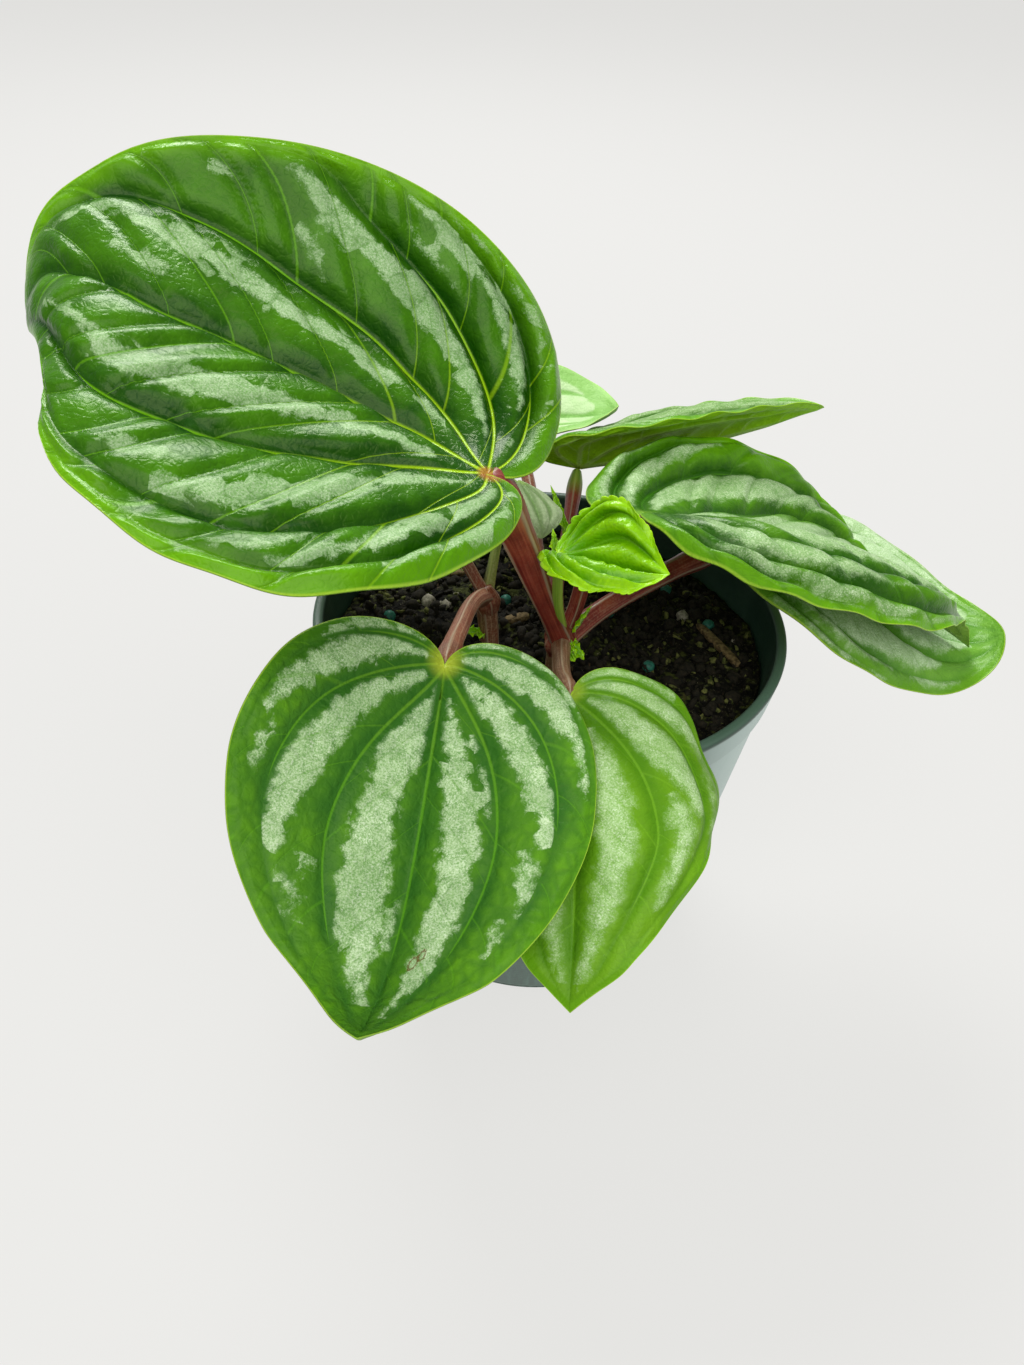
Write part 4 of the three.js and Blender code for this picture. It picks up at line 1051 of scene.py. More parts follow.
def rod_skin(rod, rings=72, sides=48):
    """A ridged round section carried along a smooth path. Radius = radius nodes, times one plus
    the ridge depth times a sharpened cosine of the turn. Both ends are closed by a point."""
    points = np.array(rod.path, float)
    chord = np.r_[0, np.cumsum(np.linalg.norm(np.diff(points, axis=0), axis=1))]
    chord = chord / chord[-1]
    share = np.linspace(0, 1, rings)
    line = np.stack([through(np.stack([chord, points[:, k]], -1), share) for k in range(3)], -1)
    ahead = unit(np.gradient(line, axis=0))
    reach = points[-1] - points[0]
    side = unit(np.cross(reach + np.array([0.01, 0.02, 0]), (0, 0, 1)))
    front = unit(np.cross(side, ahead))
    side = unit(np.cross(ahead, front))
    turn = np.arange(sides) * 2 * np.pi / sides
    ridge = ((1 + np.cos(rod.ridges * turn)) / 2)**3
    ridged = 1 - rod.ridge_depth / 2 + rod.ridge_depth * ridge
    radius = through(rod.radii, share)[:, None] * ridged
    radius[[0, -1]] = 0
    grid = (line[:, None] + front[:, None] * (radius * np.cos(turn))[..., None]
            + side[:, None] * (radius * np.sin(turn))[..., None])
    fresh = through(rod.fresh, share)
    values = {"ridge": ridge + 0 * share[:, None], "red": np.full((rings, sides), rod.red),
              "fresh": fresh[:, None] + 0 * ridge}
    return Skin(grid, values, {"stalk": plain_map(rings, sides)})


BLADE_BASES = {blade.name: blade.base for blade in BLADES}
RIGHT_CROWN, LEFT_CROWN = (2.5, -11, 86), (-14, 1.5, 87)
STALK_GAP = 0.4  # from the end of a stalk's middle line to its blade's base


def stalk(crown, leaf, via, radii, **more):
    """A leaf's stalk, from just inside the crown to just short of its blade."""
    base = np.array(BLADE_BASES[leaf], float)
    last = np.array(via[-1], float)
    end = base - unit(base - last) * STALK_GAP
    start, finish = radii
    nodes = ((0, start * 1.15), (0.12, start),
             (0.7, finish * 0.96), (0.93, finish), (1, finish * 0.6))
    return Rod(path=(crown, *via, tuple(end)), radii=nodes, **more)


RIGHT_SHOOT = (
    Rod(path=((2.1, -11.2, 82.5), (2.2, -11.6, 86), (2.3, -12, 90)),
        radii=((0, 2.4), (0.5, 3.5), (1, 2)), red=0.75, ridges=7),
    Rod(path=((2, -11, 61.8), (2, -11, 76.5), RIGHT_CROWN),
        radii=((0, 2.4), (0.6, 2.5), (1, 2.7)), red=0.35, ridges=5),
    stalk(RIGHT_CROWN, "leaf_upper_left", ((-2, -17, 100), (-9, -26.5, 123)), (2.5, 3.5)),
    stalk(RIGHT_CROWN, "leaf_right", ((4.5, -9.5, 92), (7, -9, 103)), (1.7, 1.9), red=0.9),
    stalk(RIGHT_CROWN, "leaf_back_right", ((1, -2.5, 90), (3, 14, 96)), (1.6, 1.5), red=0.9,
          fresh=((0, 0), (0.8, 0), (0.94, 1), (1, 1))),
    stalk(RIGHT_CROWN, "leaf_right_under", ((10.5, -4, 89), (25, 6, 93)), (2.5, 2.6), red=0.85),
    stalk(RIGHT_CROWN, "leaf_front_right", ((2.2, -18, 88), (2.2, -27, 90)), (2, 1.8), red=0.4),
    stalk(RIGHT_CROWN, "leaf_back", ((-3, 11.5, 92.5), (-7, 35.5, 100)), (1.4, 1.5), red=0.55),
)
LEFT_SHOOT = (
    Rod(path=((-13.4, 1.1, 83.5), (-14, 1.2, 86.5), (-14.6, 1.2, 90)),
        radii=((0, 2.2), (0.5, 3), (1, 1.6)), red=0.6, ridges=6),
    Rod(path=((-13, 1, 61.8), (-13, 1, 76.5), LEFT_CROWN),
        radii=((0, 2.1), (0.6, 2.2), (1, 2.4)), red=0.5, ridges=5),
    stalk(LEFT_CROWN, "leaf_front_left", ((-15.5, -3, 89.5), (-18.5, -24, 96)), (1.9, 1.9),
          red=0.55),
    stalk(LEFT_CROWN, "leaf_small_centre", ((-12.5, 6.5, 96), (-11, 11, 103.5)), (1.3, 1), red=0.1,
          fresh=((0, 0.3), (0.3, 0.6), (1, 0.7))),
    stalk(LEFT_CROWN, "leaf_left_under", ((-16, 1.8, 90.5), (-18.5, 2.8, 94.5)), (1.6, 1.5),
          red=0.6),
)
YOUNG_SHOOT = (
    Rod(path=((2.2, -13, 90.5), (0.8, -17.4, 99), (0.2, -20.6, 107.5), (0, -22.7, 114)),
        radii=((0, 1.2), (0.5, 1.1), (1, 0.9)), red=0.0, fresh=((0, 1), (1, 1)), ridges=3),
)


def stalk_finish(name):
    """Fleshy stalk: maroon faces with fine lengthwise streaks and pale grey-green ridges, browner
    and flecked where it isn't red, and green where it is young."""
    finish = Finish(name, **{
        "IOR": 1.42, "Coat Roughness": 0.15, "Subsurface Radius": (0.6, 0.3, 0.15),
    })
    ridge, red, fresh = (finish.attribute(key) for key in ("ridge", "red", "fresh"))
    around, along = finish.map("stalk")
    sockets = {"X": around * 40, "Y": along * 3, "Z": 0.0}
    lengthwise = finish.node("ShaderNodeCombineXYZ", {}, sockets).outputs[0]
    streaks = finish.noise(1 / MM, 3, vector=lengthwise)
    clouds = finish.noise(5, 2)
    fine = finish.noise(0.5, 2)
    shade = (streaks * 0.8 + clouds * 0.5).step(0.3, 0.95)
    maroon = finish.mix(shade, (0.09, 0.005, 0.005), (0.3, 0.045, 0.025))
    plain = finish.mix(streaks, (0.13, 0.06, 0.025), (0.26, 0.2, 0.09))
    colour = finish.mix((red + (clouds - 0.5) * 0.3).step(0.05, 0.85), plain, maroon)
    on_ridge = (ridge + (streaks - 0.5) * 0.25).step(0.7, 1.0, 0, 0.7)
    colour = finish.mix(on_ridge, colour, (0.36, 0.3, 0.2))
    flecks = (streaks * 0.6 + fine * 0.5).step(0.5, 0.68) * (1.1 - red)
    colour = finish.mix(flecks, colour, (0.4, 0.27, 0.17))
    green = finish.mix(streaks + (ridge - 0.5) * 0.5, (0.14, 0.3, 0.015), (0.42, 0.58, 0.08))
    colour = finish.mix((fresh + (clouds - 0.5) * 0.2) * 0.95, colour, green)
    finish.set(Base_Color=colour, Roughness=0.34 + fine * 0.14)
    finish.set(Normal=finish.bump(streaks * 0.6 + fine * 0.4, 0.35, 0.2))
    return finish.material


# ---------------------------------------------------------------- pot

POT_HEIGHT, RIM_RADIUS, BASE_RADIUS = 86, 51, 38.5
WALL, FLOOR, LIP, RIM_HEIGHT, RIM_PROUD, RIM_WALL = 1.3, 2, 0.5, 9, 1, 2.3
FOOT_HEIGHT, FOOT_INSET = 1.2, 0.8
DRAIN_HOLES, DRAIN_RADIUS, DRAIN_CIRCLE, DRAIN_FIELD = 8, 4, 26, 8
HOLE_STEPS = 24  # cells along each side of the field round a drain hole


def wall_radius(z):
    return BASE_RADIUS + (RIM_RADIUS - RIM_PROUD - BASE_RADIUS) * z / POT_HEIGHT


def rounded(corners, radius=0.45, steps=4):
    """A profile whose inner corners are cut round: each is replaced by a short curve whose ends
    lie this far back along its sides."""
    corners = np.array(corners, float)
    out = [corners[:1]]
    for before, at, after in zip(corners[:-2], corners[1:-1], corners[2:]):
        back = min(radius, np.linalg.norm(at - before) / 2.2)
        on = min(radius, np.linalg.norm(after - at) / 2.2)
        start, end = at + unit(before - at) * back, at + unit(after - at) * on
        u = np.linspace(0, 1, steps)[:, None]
        out.append((1 - u)**2 * start + 2 * u * (1 - u) * at + u**2 * end)
    return np.vstack(out + [corners[-1:]])


def pot_grids():
    """The pot's wall and rim as a turned profile, and its floor as rings round its drain holes."""
    inner_edge, outer_edge = DRAIN_CIRCLE - DRAIN_FIELD, DRAIN_CIRCLE + DRAIN_FIELD
    rim_foot = POT_HEIGHT - RIM_HEIGHT
    profile = rounded([
        (outer_edge, 0), (BASE_RADIUS - FOOT_INSET, 0), (BASE_RADIUS - FOOT_INSET, FOOT_HEIGHT),
        (BASE_RADIUS, FOOT_HEIGHT + FOOT_INSET), (wall_radius(rim_foot), rim_foot),
        (wall_radius(rim_foot) + RIM_PROUD, rim_foot + RIM_PROUD), (RIM_RADIUS, POT_HEIGHT - LIP),
        (RIM_RADIUS - LIP, POT_HEIGHT), (RIM_RADIUS - RIM_WALL + LIP, POT_HEIGHT),
        (RIM_RADIUS - RIM_WALL, POT_HEIGHT - LIP), (wall_radius(rim_foot) - WALL, rim_foot),
        (wall_radius(FLOOR) - WALL, FLOOR), (outer_edge, FLOOR),
    ])
    count = DRAIN_HOLES * HOLE_STEPS
    turn = (np.arange(count) / HOLE_STEPS - 0.5) * 2 * np.pi / DRAIN_HOLES
    lathe = lambda r, z: np.stack([r * np.cos(turn), r * np.sin(turn), z + 0 * turn * r], -1)
    wall = lathe(profile[:, :1], profile[:, 1:])
    hub_profile = np.array([(0, 0), (inner_edge, 0), (inner_edge, FLOOR), (0, FLOOR)])
    hub = lathe(hub_profile[:, :1], hub_profile[:, 1:])
    grids = [wall, hub]
    side = np.linspace(-1, 1, HOLE_STEPS + 1)[:-1]
    square = np.concatenate([
        np.stack([1 + 0 * side, side], -1), np.stack([-side, 1 + 0 * side], -1),
        np.stack([-1 + 0 * side, -side], -1), np.stack([side, -1 + 0 * side], -1),
    ])
    for k in range(DRAIN_HOLES):
        middle = 2 * np.pi * k / DRAIN_HOLES
        radius = DRAIN_CIRCLE + DRAIN_FIELD * square[:, 0]
        angle = middle + np.pi / DRAIN_HOLES * square[:, 1]
        outer = np.stack([radius * np.cos(angle), radius * np.sin(angle)], -1)
        centre = DRAIN_CIRCLE * np.array([np.cos(middle), np.sin(middle)])
        hole = centre + DRAIN_RADIUS * unit(outer - centre)
        layers = [(outer, 0), (hole, 0), (hole, FLOOR), (outer, FLOOR)]
        grids.append(np.stack([np.c_[ring, 0 * ring[:, 0] + z] for ring, z in layers]))
    return grids


def pot_mesh(name, grids, material):
    """The pot from its open grids, welded where they meet. Its points know if they are outside."""
    parts, faces, base = [], [], 0
    for grid in grids:
        parts.append(grid.reshape(-1, 3))
        faces.append(grid_faces(*grid.shape[:2]) + base)
        base += len(parts[-1])
    points = np.concatenate(parts)
    first, group = weld(points, 4)
    points, faces = points[first], group[np.concatenate(faces)]
    mesh = bpy.data.meshes.new(name)
    mesh.from_pydata((points * MM).tolist(), [], faces[has_area(faces)].tolist())
    work = bmesh.new()
    work.from_mesh(mesh)
    bmesh.ops.recalc_face_normals(work, faces=work.faces[:])
    work.to_mesh(mesh)
    work.free()
    mesh.polygons.foreach_set("use_smooth", np.ones(len(mesh.polygons), bool))
    mesh.set_sharp_from_angle(angle=math.radians(50))
    x, y, z = points.T
    add_values(mesh, "outside", np.hypot(x, y) > wall_radius(z) - WALL / 2)
    return add_object(name, mesh, material)


def pot_finish(settings):
    """Satin moulded plastic: dark green, with fine scuffs, faint rings from its mould, dust low on
    the wall and a paler top to the lip.
    Its outer wall is painted pale on its right side up to the lip, a painted sheen of washed-out
    light, and is faintly greyer below the rim all round as its own tone."""
    finish = Finish("pot_plastic", **{"IOR": 1.46, "Coat Weight": 0.0})
    spots = finish.noise(0.6, 2)
    clouds = finish.noise(14, 3)
    scuff = finish.noise(1.2, 4, 0.7, finish.stretched((1, 1, 0.12)))
    x, _, z = finish.parts(finish.place)
    outward = finish.attribute("outside")
    rings = (z * (2 * math.pi / (0.9 * MM)) + clouds * 4).sine()
    colour = finish.mix(clouds.step(0.3, 0.75), tuple(settings.pot_colour), (0.032, 0.07, 0.046))
    below_rim = z.step((POT_HEIGHT - RIM_HEIGHT) * MM, (POT_HEIGHT - RIM_HEIGHT + 1) * MM, 1, 0)
    below_lip = z.step((POT_HEIGHT - 1.8) * MM, (POT_HEIGHT - 0.9) * MM, 1, 0)
    # painted sheen: the outer wall's right side, up to the lip, is painted pale grey-green to stand
    # in for washed-out light on it; the outer wall below the rim takes a tenth of the same tone all
    # round as its own greyer colour
    painted_sheen = x.step(12 * MM, 46 * MM) * below_lip * outward
    colour = finish.mix(painted_sheen * 0.9 + outward * below_rim * 0.1, colour, (0.46, 0.58, 0.54))
    dust = (scuff + z * -3 + 0.1).step(0.45, 0.85, 0, 0.35)
    colour = finish.mix(dust, colour, (0.22, 0.34, 0.28))
    # The top of the lip is paler.
    lip = z.step((POT_HEIGHT - 0.7) * MM, POT_HEIGHT * MM, 0, 0.5)
    colour = finish.mix(lip, colour, (0.1, 0.17, 0.12))
    finish.set(Base_Color=colour, Roughness=0.36 + scuff * 0.2 + dust * 0.3)
    finish.set(Normal=finish.bump(spots * 0.5 + rings * 0.12 + scuff * 0.3, 0.25, 0.12))
    return finish.material


# ---------------------------------------------------------------- soil

SOIL_LEVEL, SOIL_LUMP = 76.5, 1.3
SOIL_GAP = 0.3
STEMS = ((2, -11), (-13, 1))
HOLE_RADIUS = 3.1

WOOD_CHIPS = (  # x, y, length, width, thickness, turn
    (38, 1, 16, 2.2, 1.6, -62), (-7, 7, 6, 2.4, 1.6, 25), (24, -21, 7, 2.2, 1.5, 40),
    (-32, -8, 7, 2.6, 1.6, -30), (-24, 24, 8, 2.4, 1.6, 15),
)
PERLITE = (
    (-28, 14, 2), (-24, 12, 1.6), (31, 12, 1.7), (12, 34, 1.8), (-10, 36, 1.6), (18, -32, 1.7),
)
FEED_BEADS = ((14, 12), (22, -7), (28, 22), (37, 10), (-10, 16), (6, 26), (-20, 33), (-36, 6))
BEAD_RADIUS = 1.5
SMALL_PERLITE, MOSS_BITS = 26, 320
SUNK = 0.35  # how far a wood chip lies in the soil, as a share of its half thickness


def soil_top(x, y):
    """The soil's mean height: three crossing waves of different lengths."""
    broad = np.sin(x / 7 + 1.3) * np.cos(y / 8.5)
    fine = np.sin(x / 2.9 - y / 3.7) + np.cos(x / 3.3 + y / 2.6 + 0.7)
    return SOIL_LEVEL + SOIL_LUMP * (0.5 * broad + 0.25 * fine)


def rough_top(x, y):
    """The soil's top with its clods: noise of falling sizes on the mean height, sunk round the
    stems."""
    clods = (0.7 * np.abs(value_noise(x, y, 3.1, 1)) + 0.45 * value_noise(x, y, 1.6, 2)
             + 0.3 * value_noise(x, y, 0.8, 3))
    return soil_top(x, y) + clods - 0.35


def soil_skin(rings=120, sides=300):
    """The soil as a turned body whose top is roughened, with a dip down each stem."""
    top_radius = wall_radius(SOIL_LEVEL - 2) - WALL - SOIL_GAP
    low_radius = wall_radius(FLOOR) - WALL - SOIL_GAP
    turn = np.arange(sides) * 2 * np.pi / sides
    radius = np.r_[0, low_radius, top_radius * np.linspace(1, 0, rings)][:, None]
    x, y = radius * np.cos(turn), radius * np.sin(turn)
    z = rough_top(x, y)
    for stem in STEMS:
        near = np.hypot(x - stem[0], y - stem[1])
        z = z - 1.6 * (1 - smooth(near, HOLE_RADIUS, HOLE_RADIUS + 1.8))
    z[:2] = FLOOR + SOIL_GAP
    z[-1] = z[-1].mean()
    points = np.stack([x, y, z], -1)
    return Skin(points, {"clod": z - soil_top(x, y)}, {"soil": plain_map(*points.shape[:2])})


def pebble_grids(centres, sizes, seed, rings=6, sides=8, roughness=0.25):
    """Small rough lumps, one skin each: a coarse ball, stretched, knocked about and turned."""
    rng = np.random.default_rng(seed)
    up = np.linspace(0, np.pi, rings)[:, None]
    turn = np.arange(sides) * 2 * np.pi / sides
    ball = np.stack([np.sin(up) * np.cos(turn), np.sin(up) * np.sin(turn),
                     np.cos(up) + 0 * turn], -1)
    grids = []
    for centre, size in zip(centres, sizes):
        knock = 1 + rng.uniform(-roughness, roughness, ball.shape[:2])
        knock[[0, -1]] = knock[[0, -1], :1]
        axes = np.linalg.qr(rng.normal(size=(3, 3)))[0]
        axes = axes * np.sign(np.linalg.det(axes))
        grids.append((ball * knock[..., None] * size) @ axes.T + centre)
    return grids


def on_soil(x, y, lift):
    return np.stack([x, y, rough_top(x, y) + lift], -1)


def scatter(count, seed, reach=45.5):
    """Places spread evenly over the soil, none of them on a stem."""
    rng = np.random.default_rng(seed)
    radius, turn = reach * np.sqrt(rng.random(count)), rng.random(count) * 2 * np.pi
    x, y = radius * np.cos(turn), radius * np.sin(turn)
    clear = np.min([np.hypot(x - a, y - b) for a, b in STEMS], axis=0) > HOLE_RADIUS + 1.2
    return x[clear], y[clear], rng


def soil_finish(settings):
    """Damp potting mix: near black with brown fibres, olive moss specks and a few dry grains."""
    finish = Finish("potting_mix", **{"IOR": 1.35, "Specular IOR Level": 0.2})
    clouds, crumbs, fine = finish.noise(6, 3), finish.noise(1.1, 3), finish.noise(0.3, 2)
    high = finish.attribute("clod")
    fibres = finish.noise(1.4, 3, 0.6, finish.stretched((1, 0.2, 1), (0, 0, 0.6)))
    colour = finish.mix(crumbs.step(0.35, 0.75), tuple(settings.soil_colour), (0.014, 0.011, 0.006))
    colour = finish.mix(fibres.step(0.62, 0.72, 0, 0.6), colour, (0.09, 0.055, 0.022))
    moss = (clouds * 0.6 + crumbs * 0.5 + high * 0.12).step(0.54, 0.68, 0, 0.75)
    colour = finish.mix(moss, colour, (0.05, 0.06, 0.01))
    grit = (fine + crumbs * 0.3).step(0.83, 0.88, 0, 0.7)
    colour = finish.mix(grit, colour, (0.22, 0.2, 0.13))
    finish.set(Base_Color=colour, Roughness=0.95 - crumbs * 0.3)
    finish.set(Normal=finish.bump(crumbs + fine * 0.6, 1.0, 0.7))
    return finish.material


def bit_finish(name, dark, light, roughness):
    """A loose bit in the soil, mottled between two colours."""
    finish = Finish(name, **{"IOR": 1.4, "Specular IOR Level": 0.3})
    mottle, fine = finish.noise(0.8, 3, 0.6), finish.noise(0.25, 2)
    colour = finish.mix(mottle.step(0.3, 0.7), dark, light)
    finish.set(Base_Color=colour, Roughness=roughness + fine * 0.2)
    finish.set(Normal=finish.bump(mottle + fine * 0.5, 0.5, 0.2))
    return finish.material


def keep_bits(name, grids, *look):
    """One piece of loose bits, made of many small closed skins."""
    skins = [Skin(grid, {}, {"lump": plain_map(*grid.shape[:2])}) for grid in grids]
    keep(build(name, skins, bit_finish(*look)), "potting_mix")


def chip_grid(x, y, length, width, thick, turn):
    """A wood chip: a ball made square by a power below 1, stretched and laid on the soil."""
    seed = int(abs(x * 7 + y))
    ball = pebble_grids([(0, 0, 0)], [(1, 1, 1)], seed, rings=9, sides=12, roughness=0.12)[0]
    grid = np.sign(ball) * np.abs(ball)**0.6 * (length / 2, width / 2, thick / 2)
    return grid @ upright_turn(turn) + (x, y, soil_top(x, y) + SUNK * thick / 2 + 0.4)


# ---------------------------------------------------------------- buds

BUD = Blade(
    name="bud", look="young", base=(0, 0, 0), heading=0, pitch=0, roll=0, twist=0, droop=40,
    tip_curl=0, sweep=0, length=5.5, halves=(1.9, 1.9), fold=(35, 35), curl=(-10, -10),
    lobes=(0.1, 0.1), widest=0.35, shoulder=0.25, tip_back=0.1, tip_width=0.4, quilt=0.3,
    waves=4, wave_height=0.45, thickness=0.7, rows=70, cells=4, rib_spacing=1.5, pucker=0.3,
    teeth=7, tooth=0.5, bands=(),
)
SLIM = replace(BUD, halves=(0.9, 0.9), thickness=0.6, wave_height=0.3, droop=10)
TUFTS = {  # each is one piece; those named as a CAD node take its place
    "bud_right_crown": (
        replace(BUD, base=(2.6, -13.9, 86.8), heading=-23, pitch=-5),
        replace(BUD, base=(2.4, -14.1, 86.4), heading=-50, pitch=5, length=4.6, roll=30),
        replace(BUD, base=(2.6, -13.8, 86.9), heading=15, pitch=20, length=3.4, halves=(1.3, 1.3)),
    ),
    "bud_left_crown": (
        replace(BUD, base=(-14.6, -0.9, 78.2), heading=-160, pitch=38, length=4.8,
                halves=(1.7, 1.7)),
    ),
    "young_tips": (  # slim new leaves on the stalks of the right crown
        replace(SLIM, base=(3.1, 10.4, 97), heading=124, pitch=54, length=12.5),
        replace(SLIM, base=(0.3, -18.4, 107), heading=107, pitch=57, length=9),
        replace(SLIM, base=(4.7, -12.9, 89.8), heading=-5, pitch=70, length=7.5, tooth=0),
    ),
}


# ---------------------------------------------------------------- settings and operators

class PeperomiaSettings(bpy.types.PropertyGroup):
    """What a user would change."""
    pot_colour: bpy.props.FloatVectorProperty(
        name="Pot Colour", description="Main colour of the pot's plastic", subtype="COLOR",
        size=3, min=0, max=1, default=(0.014, 0.043, 0.026))
    soil_colour: bpy.props.FloatVectorProperty(
        name="Soil Colour", description="Darkest colour of the potting mix", subtype="COLOR",
        size=3, min=0, max=1, default=(0.003, 0.003, 0.002))
    raggedness: bpy.props.FloatProperty(
        name="Raggedness", description="How far the edges of the silver bands wander",
        subtype="FACTOR", min=0, max=2, default=1)
    silver_strength: bpy.props.FloatProperty(
        name="Silver Strength", description="How fully the silver bands cover the green",
        subtype="FACTOR", min=0, max=1, default=0.95)
    crumbs: bpy.props.IntProperty(
        name="Crumbs", description="Loose crumbs on the soil", min=0, max=4000, default=1500)
    floor_colour: bpy.props.FloatVectorProperty(
        name="Floor Colour", description="Colour of the table", subtype="COLOR",
        size=3, min=0, max=1, default=(0.84, 0.835, 0.815))
    key_power: bpy.props.FloatProperty(
        name="Key Light", description="Power of the large soft light", unit="POWER",
        min=0, default=13)
    sky: bpy.props.FloatProperty(
        name="Sky", description="Brightness of the light from all round", min=0, default=0.42)


class PieceOperator:
    """What the operators share."""
    bl_options = {"REGISTER", "UNDO"}


class PEPEROMIA_OT_pot(PieceOperator, bpy.types.Operator):
    """Makes the nursery pot with its rim, foot step and drain holes"""
    bl_idname = "peperomia.pot"
    bl_label = "Pot"

    def execute(self, context):
        finish = pot_finish(context.scene.peperomia)
        keep(pot_mesh("pot_shell", pot_grids(), finish), "pot_plastic", "pot")
        return {"FINISHED"}


class PEPEROMIA_OT_soil(PieceOperator, bpy.types.Operator):
    """Makes the potting mix with its crumbs, wood chips, perlite, feed beads and moss"""
    bl_idname = "peperomia.soil"
    bl_label = "Soil"

    def execute(self, context):
        settings = context.scene.peperomia
        mix = soil_finish(settings)
        keep(build("soil_body", [soil_skin()], mix), "potting_mix", "soil")

        x, y, rng = scatter(settings.crumbs, 11)
        sizes = rng.uniform(0.35, 1.5, (len(x), 3)) * rng.choice([0.6, 1, 1.3], (len(x), 1))
        keep_bits("soil_crumbs", pebble_grids(on_soil(x, y, 0.2), sizes, 12, rings=5, sides=6),
                  "crumbs", (0.004, 0.004, 0.002), (0.018, 0.014, 0.007), 0.8)

        keep_bits("wood_chips", [chip_grid(*chip) for chip in WOOD_CHIPS],
                  "wood_chips", (0.04, 0.025, 0.008), (0.17, 0.12, 0.05), 0.7)

        large = np.array(PERLITE)
        x, y, rng = scatter(SMALL_PERLITE, 21)
        centres = np.vstack([on_soil(large[:, 0], large[:, 1], 0.3), on_soil(x, y, 0.2)])
        sizes = np.vstack([large[:, 2:] * (1, 0.85, 0.8), rng.uniform(0.4, 0.9, (len(x), 3))])
        keep_bits("perlite", pebble_grids(centres, sizes, 22, rings=8, sides=10),
                  "perlite", (0.12, 0.11, 0.075), (0.28, 0.26, 0.2), 0.8)

        beads = np.array(FEED_BEADS, float)
        sizes = np.full((len(beads), 3), BEAD_RADIUS) * (1, 0.95, 0.9)
        centres = on_soil(beads[:, 0], beads[:, 1], 0.5)
        grids = pebble_grids(centres, sizes, 31, rings=12, sides=16, roughness=0.03)
        keep_bits("feed_beads", grids, "feed_beads", (0.01, 0.07, 0.05), (0.03, 0.16, 0.11), 0.3)

        x, y, rng = scatter(MOSS_BITS, 41)
        sizes = rng.uniform(0.3, 0.9, (len(x), 3)) * (1.6, 1, 0.6)
        centres = on_soil(x, y, 0.4)
        keep_bits("moss_bits", pebble_grids(centres, sizes, 42, rings=5, sides=6, roughness=0.4),
                  "moss_bits", (0.04, 0.05, 0.01), (0.13, 0.13, 0.035), 0.8)
        return {"FINISHED"}


class PEPEROMIA_OT_shoots(PieceOperator, bpy.types.Operator):
    """Makes the stems and fleshy leaf stalks of each shoot"""
    bl_idname = "peperomia.shoots"
    bl_label = "Shoots"

    def execute(self, context):
        for name, rods, slot in (
            ("right_shoot", RIGHT_SHOOT, "stalk_red"),
            ("left_shoot", LEFT_SHOOT, "stalk_brown"),
            ("young_shoot", YOUNG_SHOOT, "stalk_green"),
        ):
            piece = build(name + "_stalks", [rod_skin(rod) for rod in rods], stalk_finish(slot))
            keep(piece, slot, name)
        return {"FINISHED"}


class PEPEROMIA_OT_leaves(PieceOperator, bpy.types.Operator):
    """Makes the leaf blades with their quilting, veins and silver bands"""
    bl_idname = "peperomia.leaves"
    bl_label = "Leaves"

    def execute(self, context):
        for blade in BLADES:
            finish = leaf_finish(blade, context.scene.peperomia)
            piece = build(blade.name + "_blade", [blade_skin(blade)], finish)
            keep(piece, LOOKS[blade.look].slot, blade.name)
        return {"FINISHED"}


class PEPEROMIA_OT_buds(PieceOperator, bpy.types.Operator):
    """Makes the small leaf buds on the crowns"""
    bl_idname = "peperomia.buds"
    bl_label = "Buds"

    def execute(self, context):
        finish = leaf_finish(BUD, context.scene.peperomia)
        for name, tuft in TUFTS.items():
            piece = build(name + "_tuft", [blade_skin(blade) for blade in tuft], finish)
            keep(piece, "bud_green", *([name] if name.startswith("bud") else []))
        return {"FINISHED"}


TABLE_HALF, TABLE_DROP = 4.0, 0.0002  # metres
TABLE_GLOW, TABLE_TONE = 0.82, 0.12  # shares of the floor colour that it emits and that it reflects
LIGHTS = (  # name, place and size in metres, share of the key light's power
    ("window", (-0.15, 0.75, 0.95), (0.6, 0.4), 1.0),
    ("fill", (0.1, -0.7, 1.0), (1.2, 0.9), 0.9),
)
PHOTO_HEIGHT, SENSOR_HEIGHT = 1365, 36
CAMERA_FOCAL_PIXELS = 1050  # focal length in the photograph's pixels
CAMERA_ELEVATION, CAMERA_ROLL = 39.8, 3.2
CAMERA_DISTANCE = 242
CAMERA_TARGET = (-7.4, 0, 64.4)


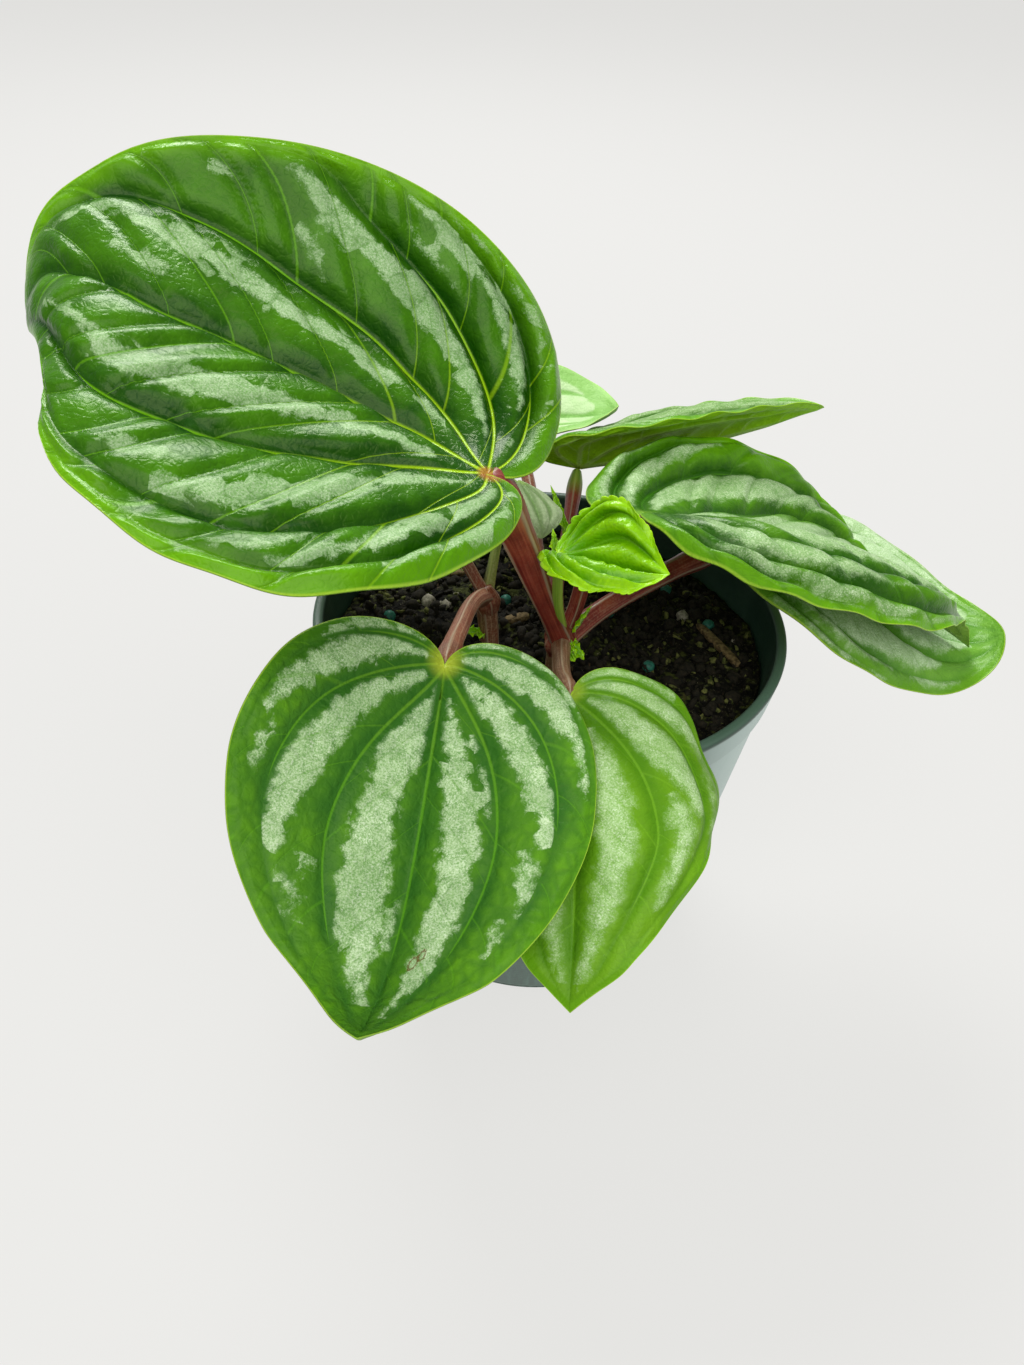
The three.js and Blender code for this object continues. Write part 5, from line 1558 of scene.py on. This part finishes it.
class PEPEROMIA_OT_stage(PieceOperator, bpy.types.Operator):
    """Makes the pale table, the soft light and the camera at the photograph's place"""
    bl_idname = "peperomia.stage"
    bl_label = "Stage"

    def execute(self, context):
        scene, settings = context.scene, context.scene.peperomia
        finish = Finish("table", **{
            "Base Color": (*(TABLE_TONE * shade for shade in settings.floor_colour), 1),
            "Roughness": 0.9, "Specular IOR Level": 0.0,
            "Emission Color": (*settings.floor_colour, 1), "Emission Strength": TABLE_GLOW,
        })
        mesh = bpy.data.meshes.new("table")
        corners = [(x * TABLE_HALF, y * TABLE_HALF, 0)
                   for x, y in ((-1, -1), (1, -1), (1, 1), (-1, 1))]
        mesh.from_pydata(corners, [], [(0, 1, 2, 3)])
        table = add_object("table", mesh, finish.material)
        table.location.z = -TABLE_DROP
        table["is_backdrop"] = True

        world = bpy.data.worlds.new("soft_sky")
        world.use_nodes = True
        sky = world.node_tree.nodes["Background"].inputs
        sky["Color"].default_value = (1, 1, 1, 1)
        sky["Strength"].default_value = settings.sky
        scene.world = world

        for name, place, size, share in LIGHTS:
            light = bpy.data.lights.new(name, "AREA")
            light.shape, light.size, light.size_y = "RECTANGLE", *size
            light.energy = settings.key_power * share
            lamp = bpy.data.objects.new(name, light)
            aim = (-Vector(place)).to_track_quat("-Z", "Y").to_matrix().to_4x4()
            lamp.matrix_world = Matrix.Translation(place) @ aim
            scene.collection.objects.link(lamp)

        camera = bpy.data.cameras.new("photo_camera")
        camera.sensor_fit, camera.sensor_height = "VERTICAL", SENSOR_HEIGHT
        camera.lens = CAMERA_FOCAL_PIXELS / PHOTO_HEIGHT * SENSOR_HEIGHT
        camera.clip_start, camera.clip_end = 0.01, 50
        elevation, roll = math.radians(CAMERA_ELEVATION), math.radians(CAMERA_ROLL)
        back = Vector((0, -math.cos(elevation), math.sin(elevation)))
        up = Vector((0, math.sin(elevation), math.cos(elevation)))
        right = Vector((1, 0, 0))
        x_axis = right * math.cos(roll) + up * math.sin(roll)
        y_axis = up * math.cos(roll) - right * math.sin(roll)
        turn = Matrix((x_axis, y_axis, back)).transposed().to_4x4()
        view = bpy.data.objects.new("photo_camera", camera)
        place = (Vector(CAMERA_TARGET) + back * CAMERA_DISTANCE) * MM
        view.matrix_world = Matrix.Translation(place) @ turn
        scene.collection.objects.link(view)
        scene.camera = view
        scene.view_settings.view_transform = "Standard"
        return {"FINISHED"}


class PEPEROMIA_PT_panel(bpy.types.Panel):
    """Lists the pieces and their settings"""
    bl_idname = "PEPEROMIA_PT_panel"
    bl_label = "Potted Peperomia"
    bl_space_type = "VIEW_3D"
    bl_region_type = "UI"
    bl_category = "Peperomia"

    def draw(self, context):
        column = self.layout.column()
        for name in PeperomiaSettings.__annotations__:
            column.prop(context.scene.peperomia, name)
        for operator in OPERATORS:
            column.operator(operator.bl_idname)


OPERATORS = (
    PEPEROMIA_OT_pot, PEPEROMIA_OT_soil, PEPEROMIA_OT_shoots, PEPEROMIA_OT_leaves,
    PEPEROMIA_OT_buds, PEPEROMIA_OT_stage,
)


def register():
    bpy.utils.register_class(PeperomiaSettings)
    for operator in OPERATORS:
        bpy.utils.register_class(operator)
    bpy.utils.register_class(PEPEROMIA_PT_panel)
    bpy.types.Scene.peperomia = bpy.props.PointerProperty(type=PeperomiaSettings)


def unregister():
    del bpy.types.Scene.peperomia
    bpy.utils.unregister_class(PEPEROMIA_PT_panel)
    for operator in reversed(OPERATORS):
        bpy.utils.unregister_class(operator)
    bpy.utils.unregister_class(PeperomiaSettings)


def main():
    register()
    bpy.ops.peperomia.pot()
    bpy.ops.peperomia.soil()
    bpy.ops.peperomia.shoots()
    bpy.ops.peperomia.leaves()
    bpy.ops.peperomia.buds()
    bpy.ops.peperomia.stage()
    corners = {"cad": CAD_BOX, "visual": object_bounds()}
    {name: [list(corner) for corner in box] for name, box in corners.items()}


if __name__ == "__main__":
    main()
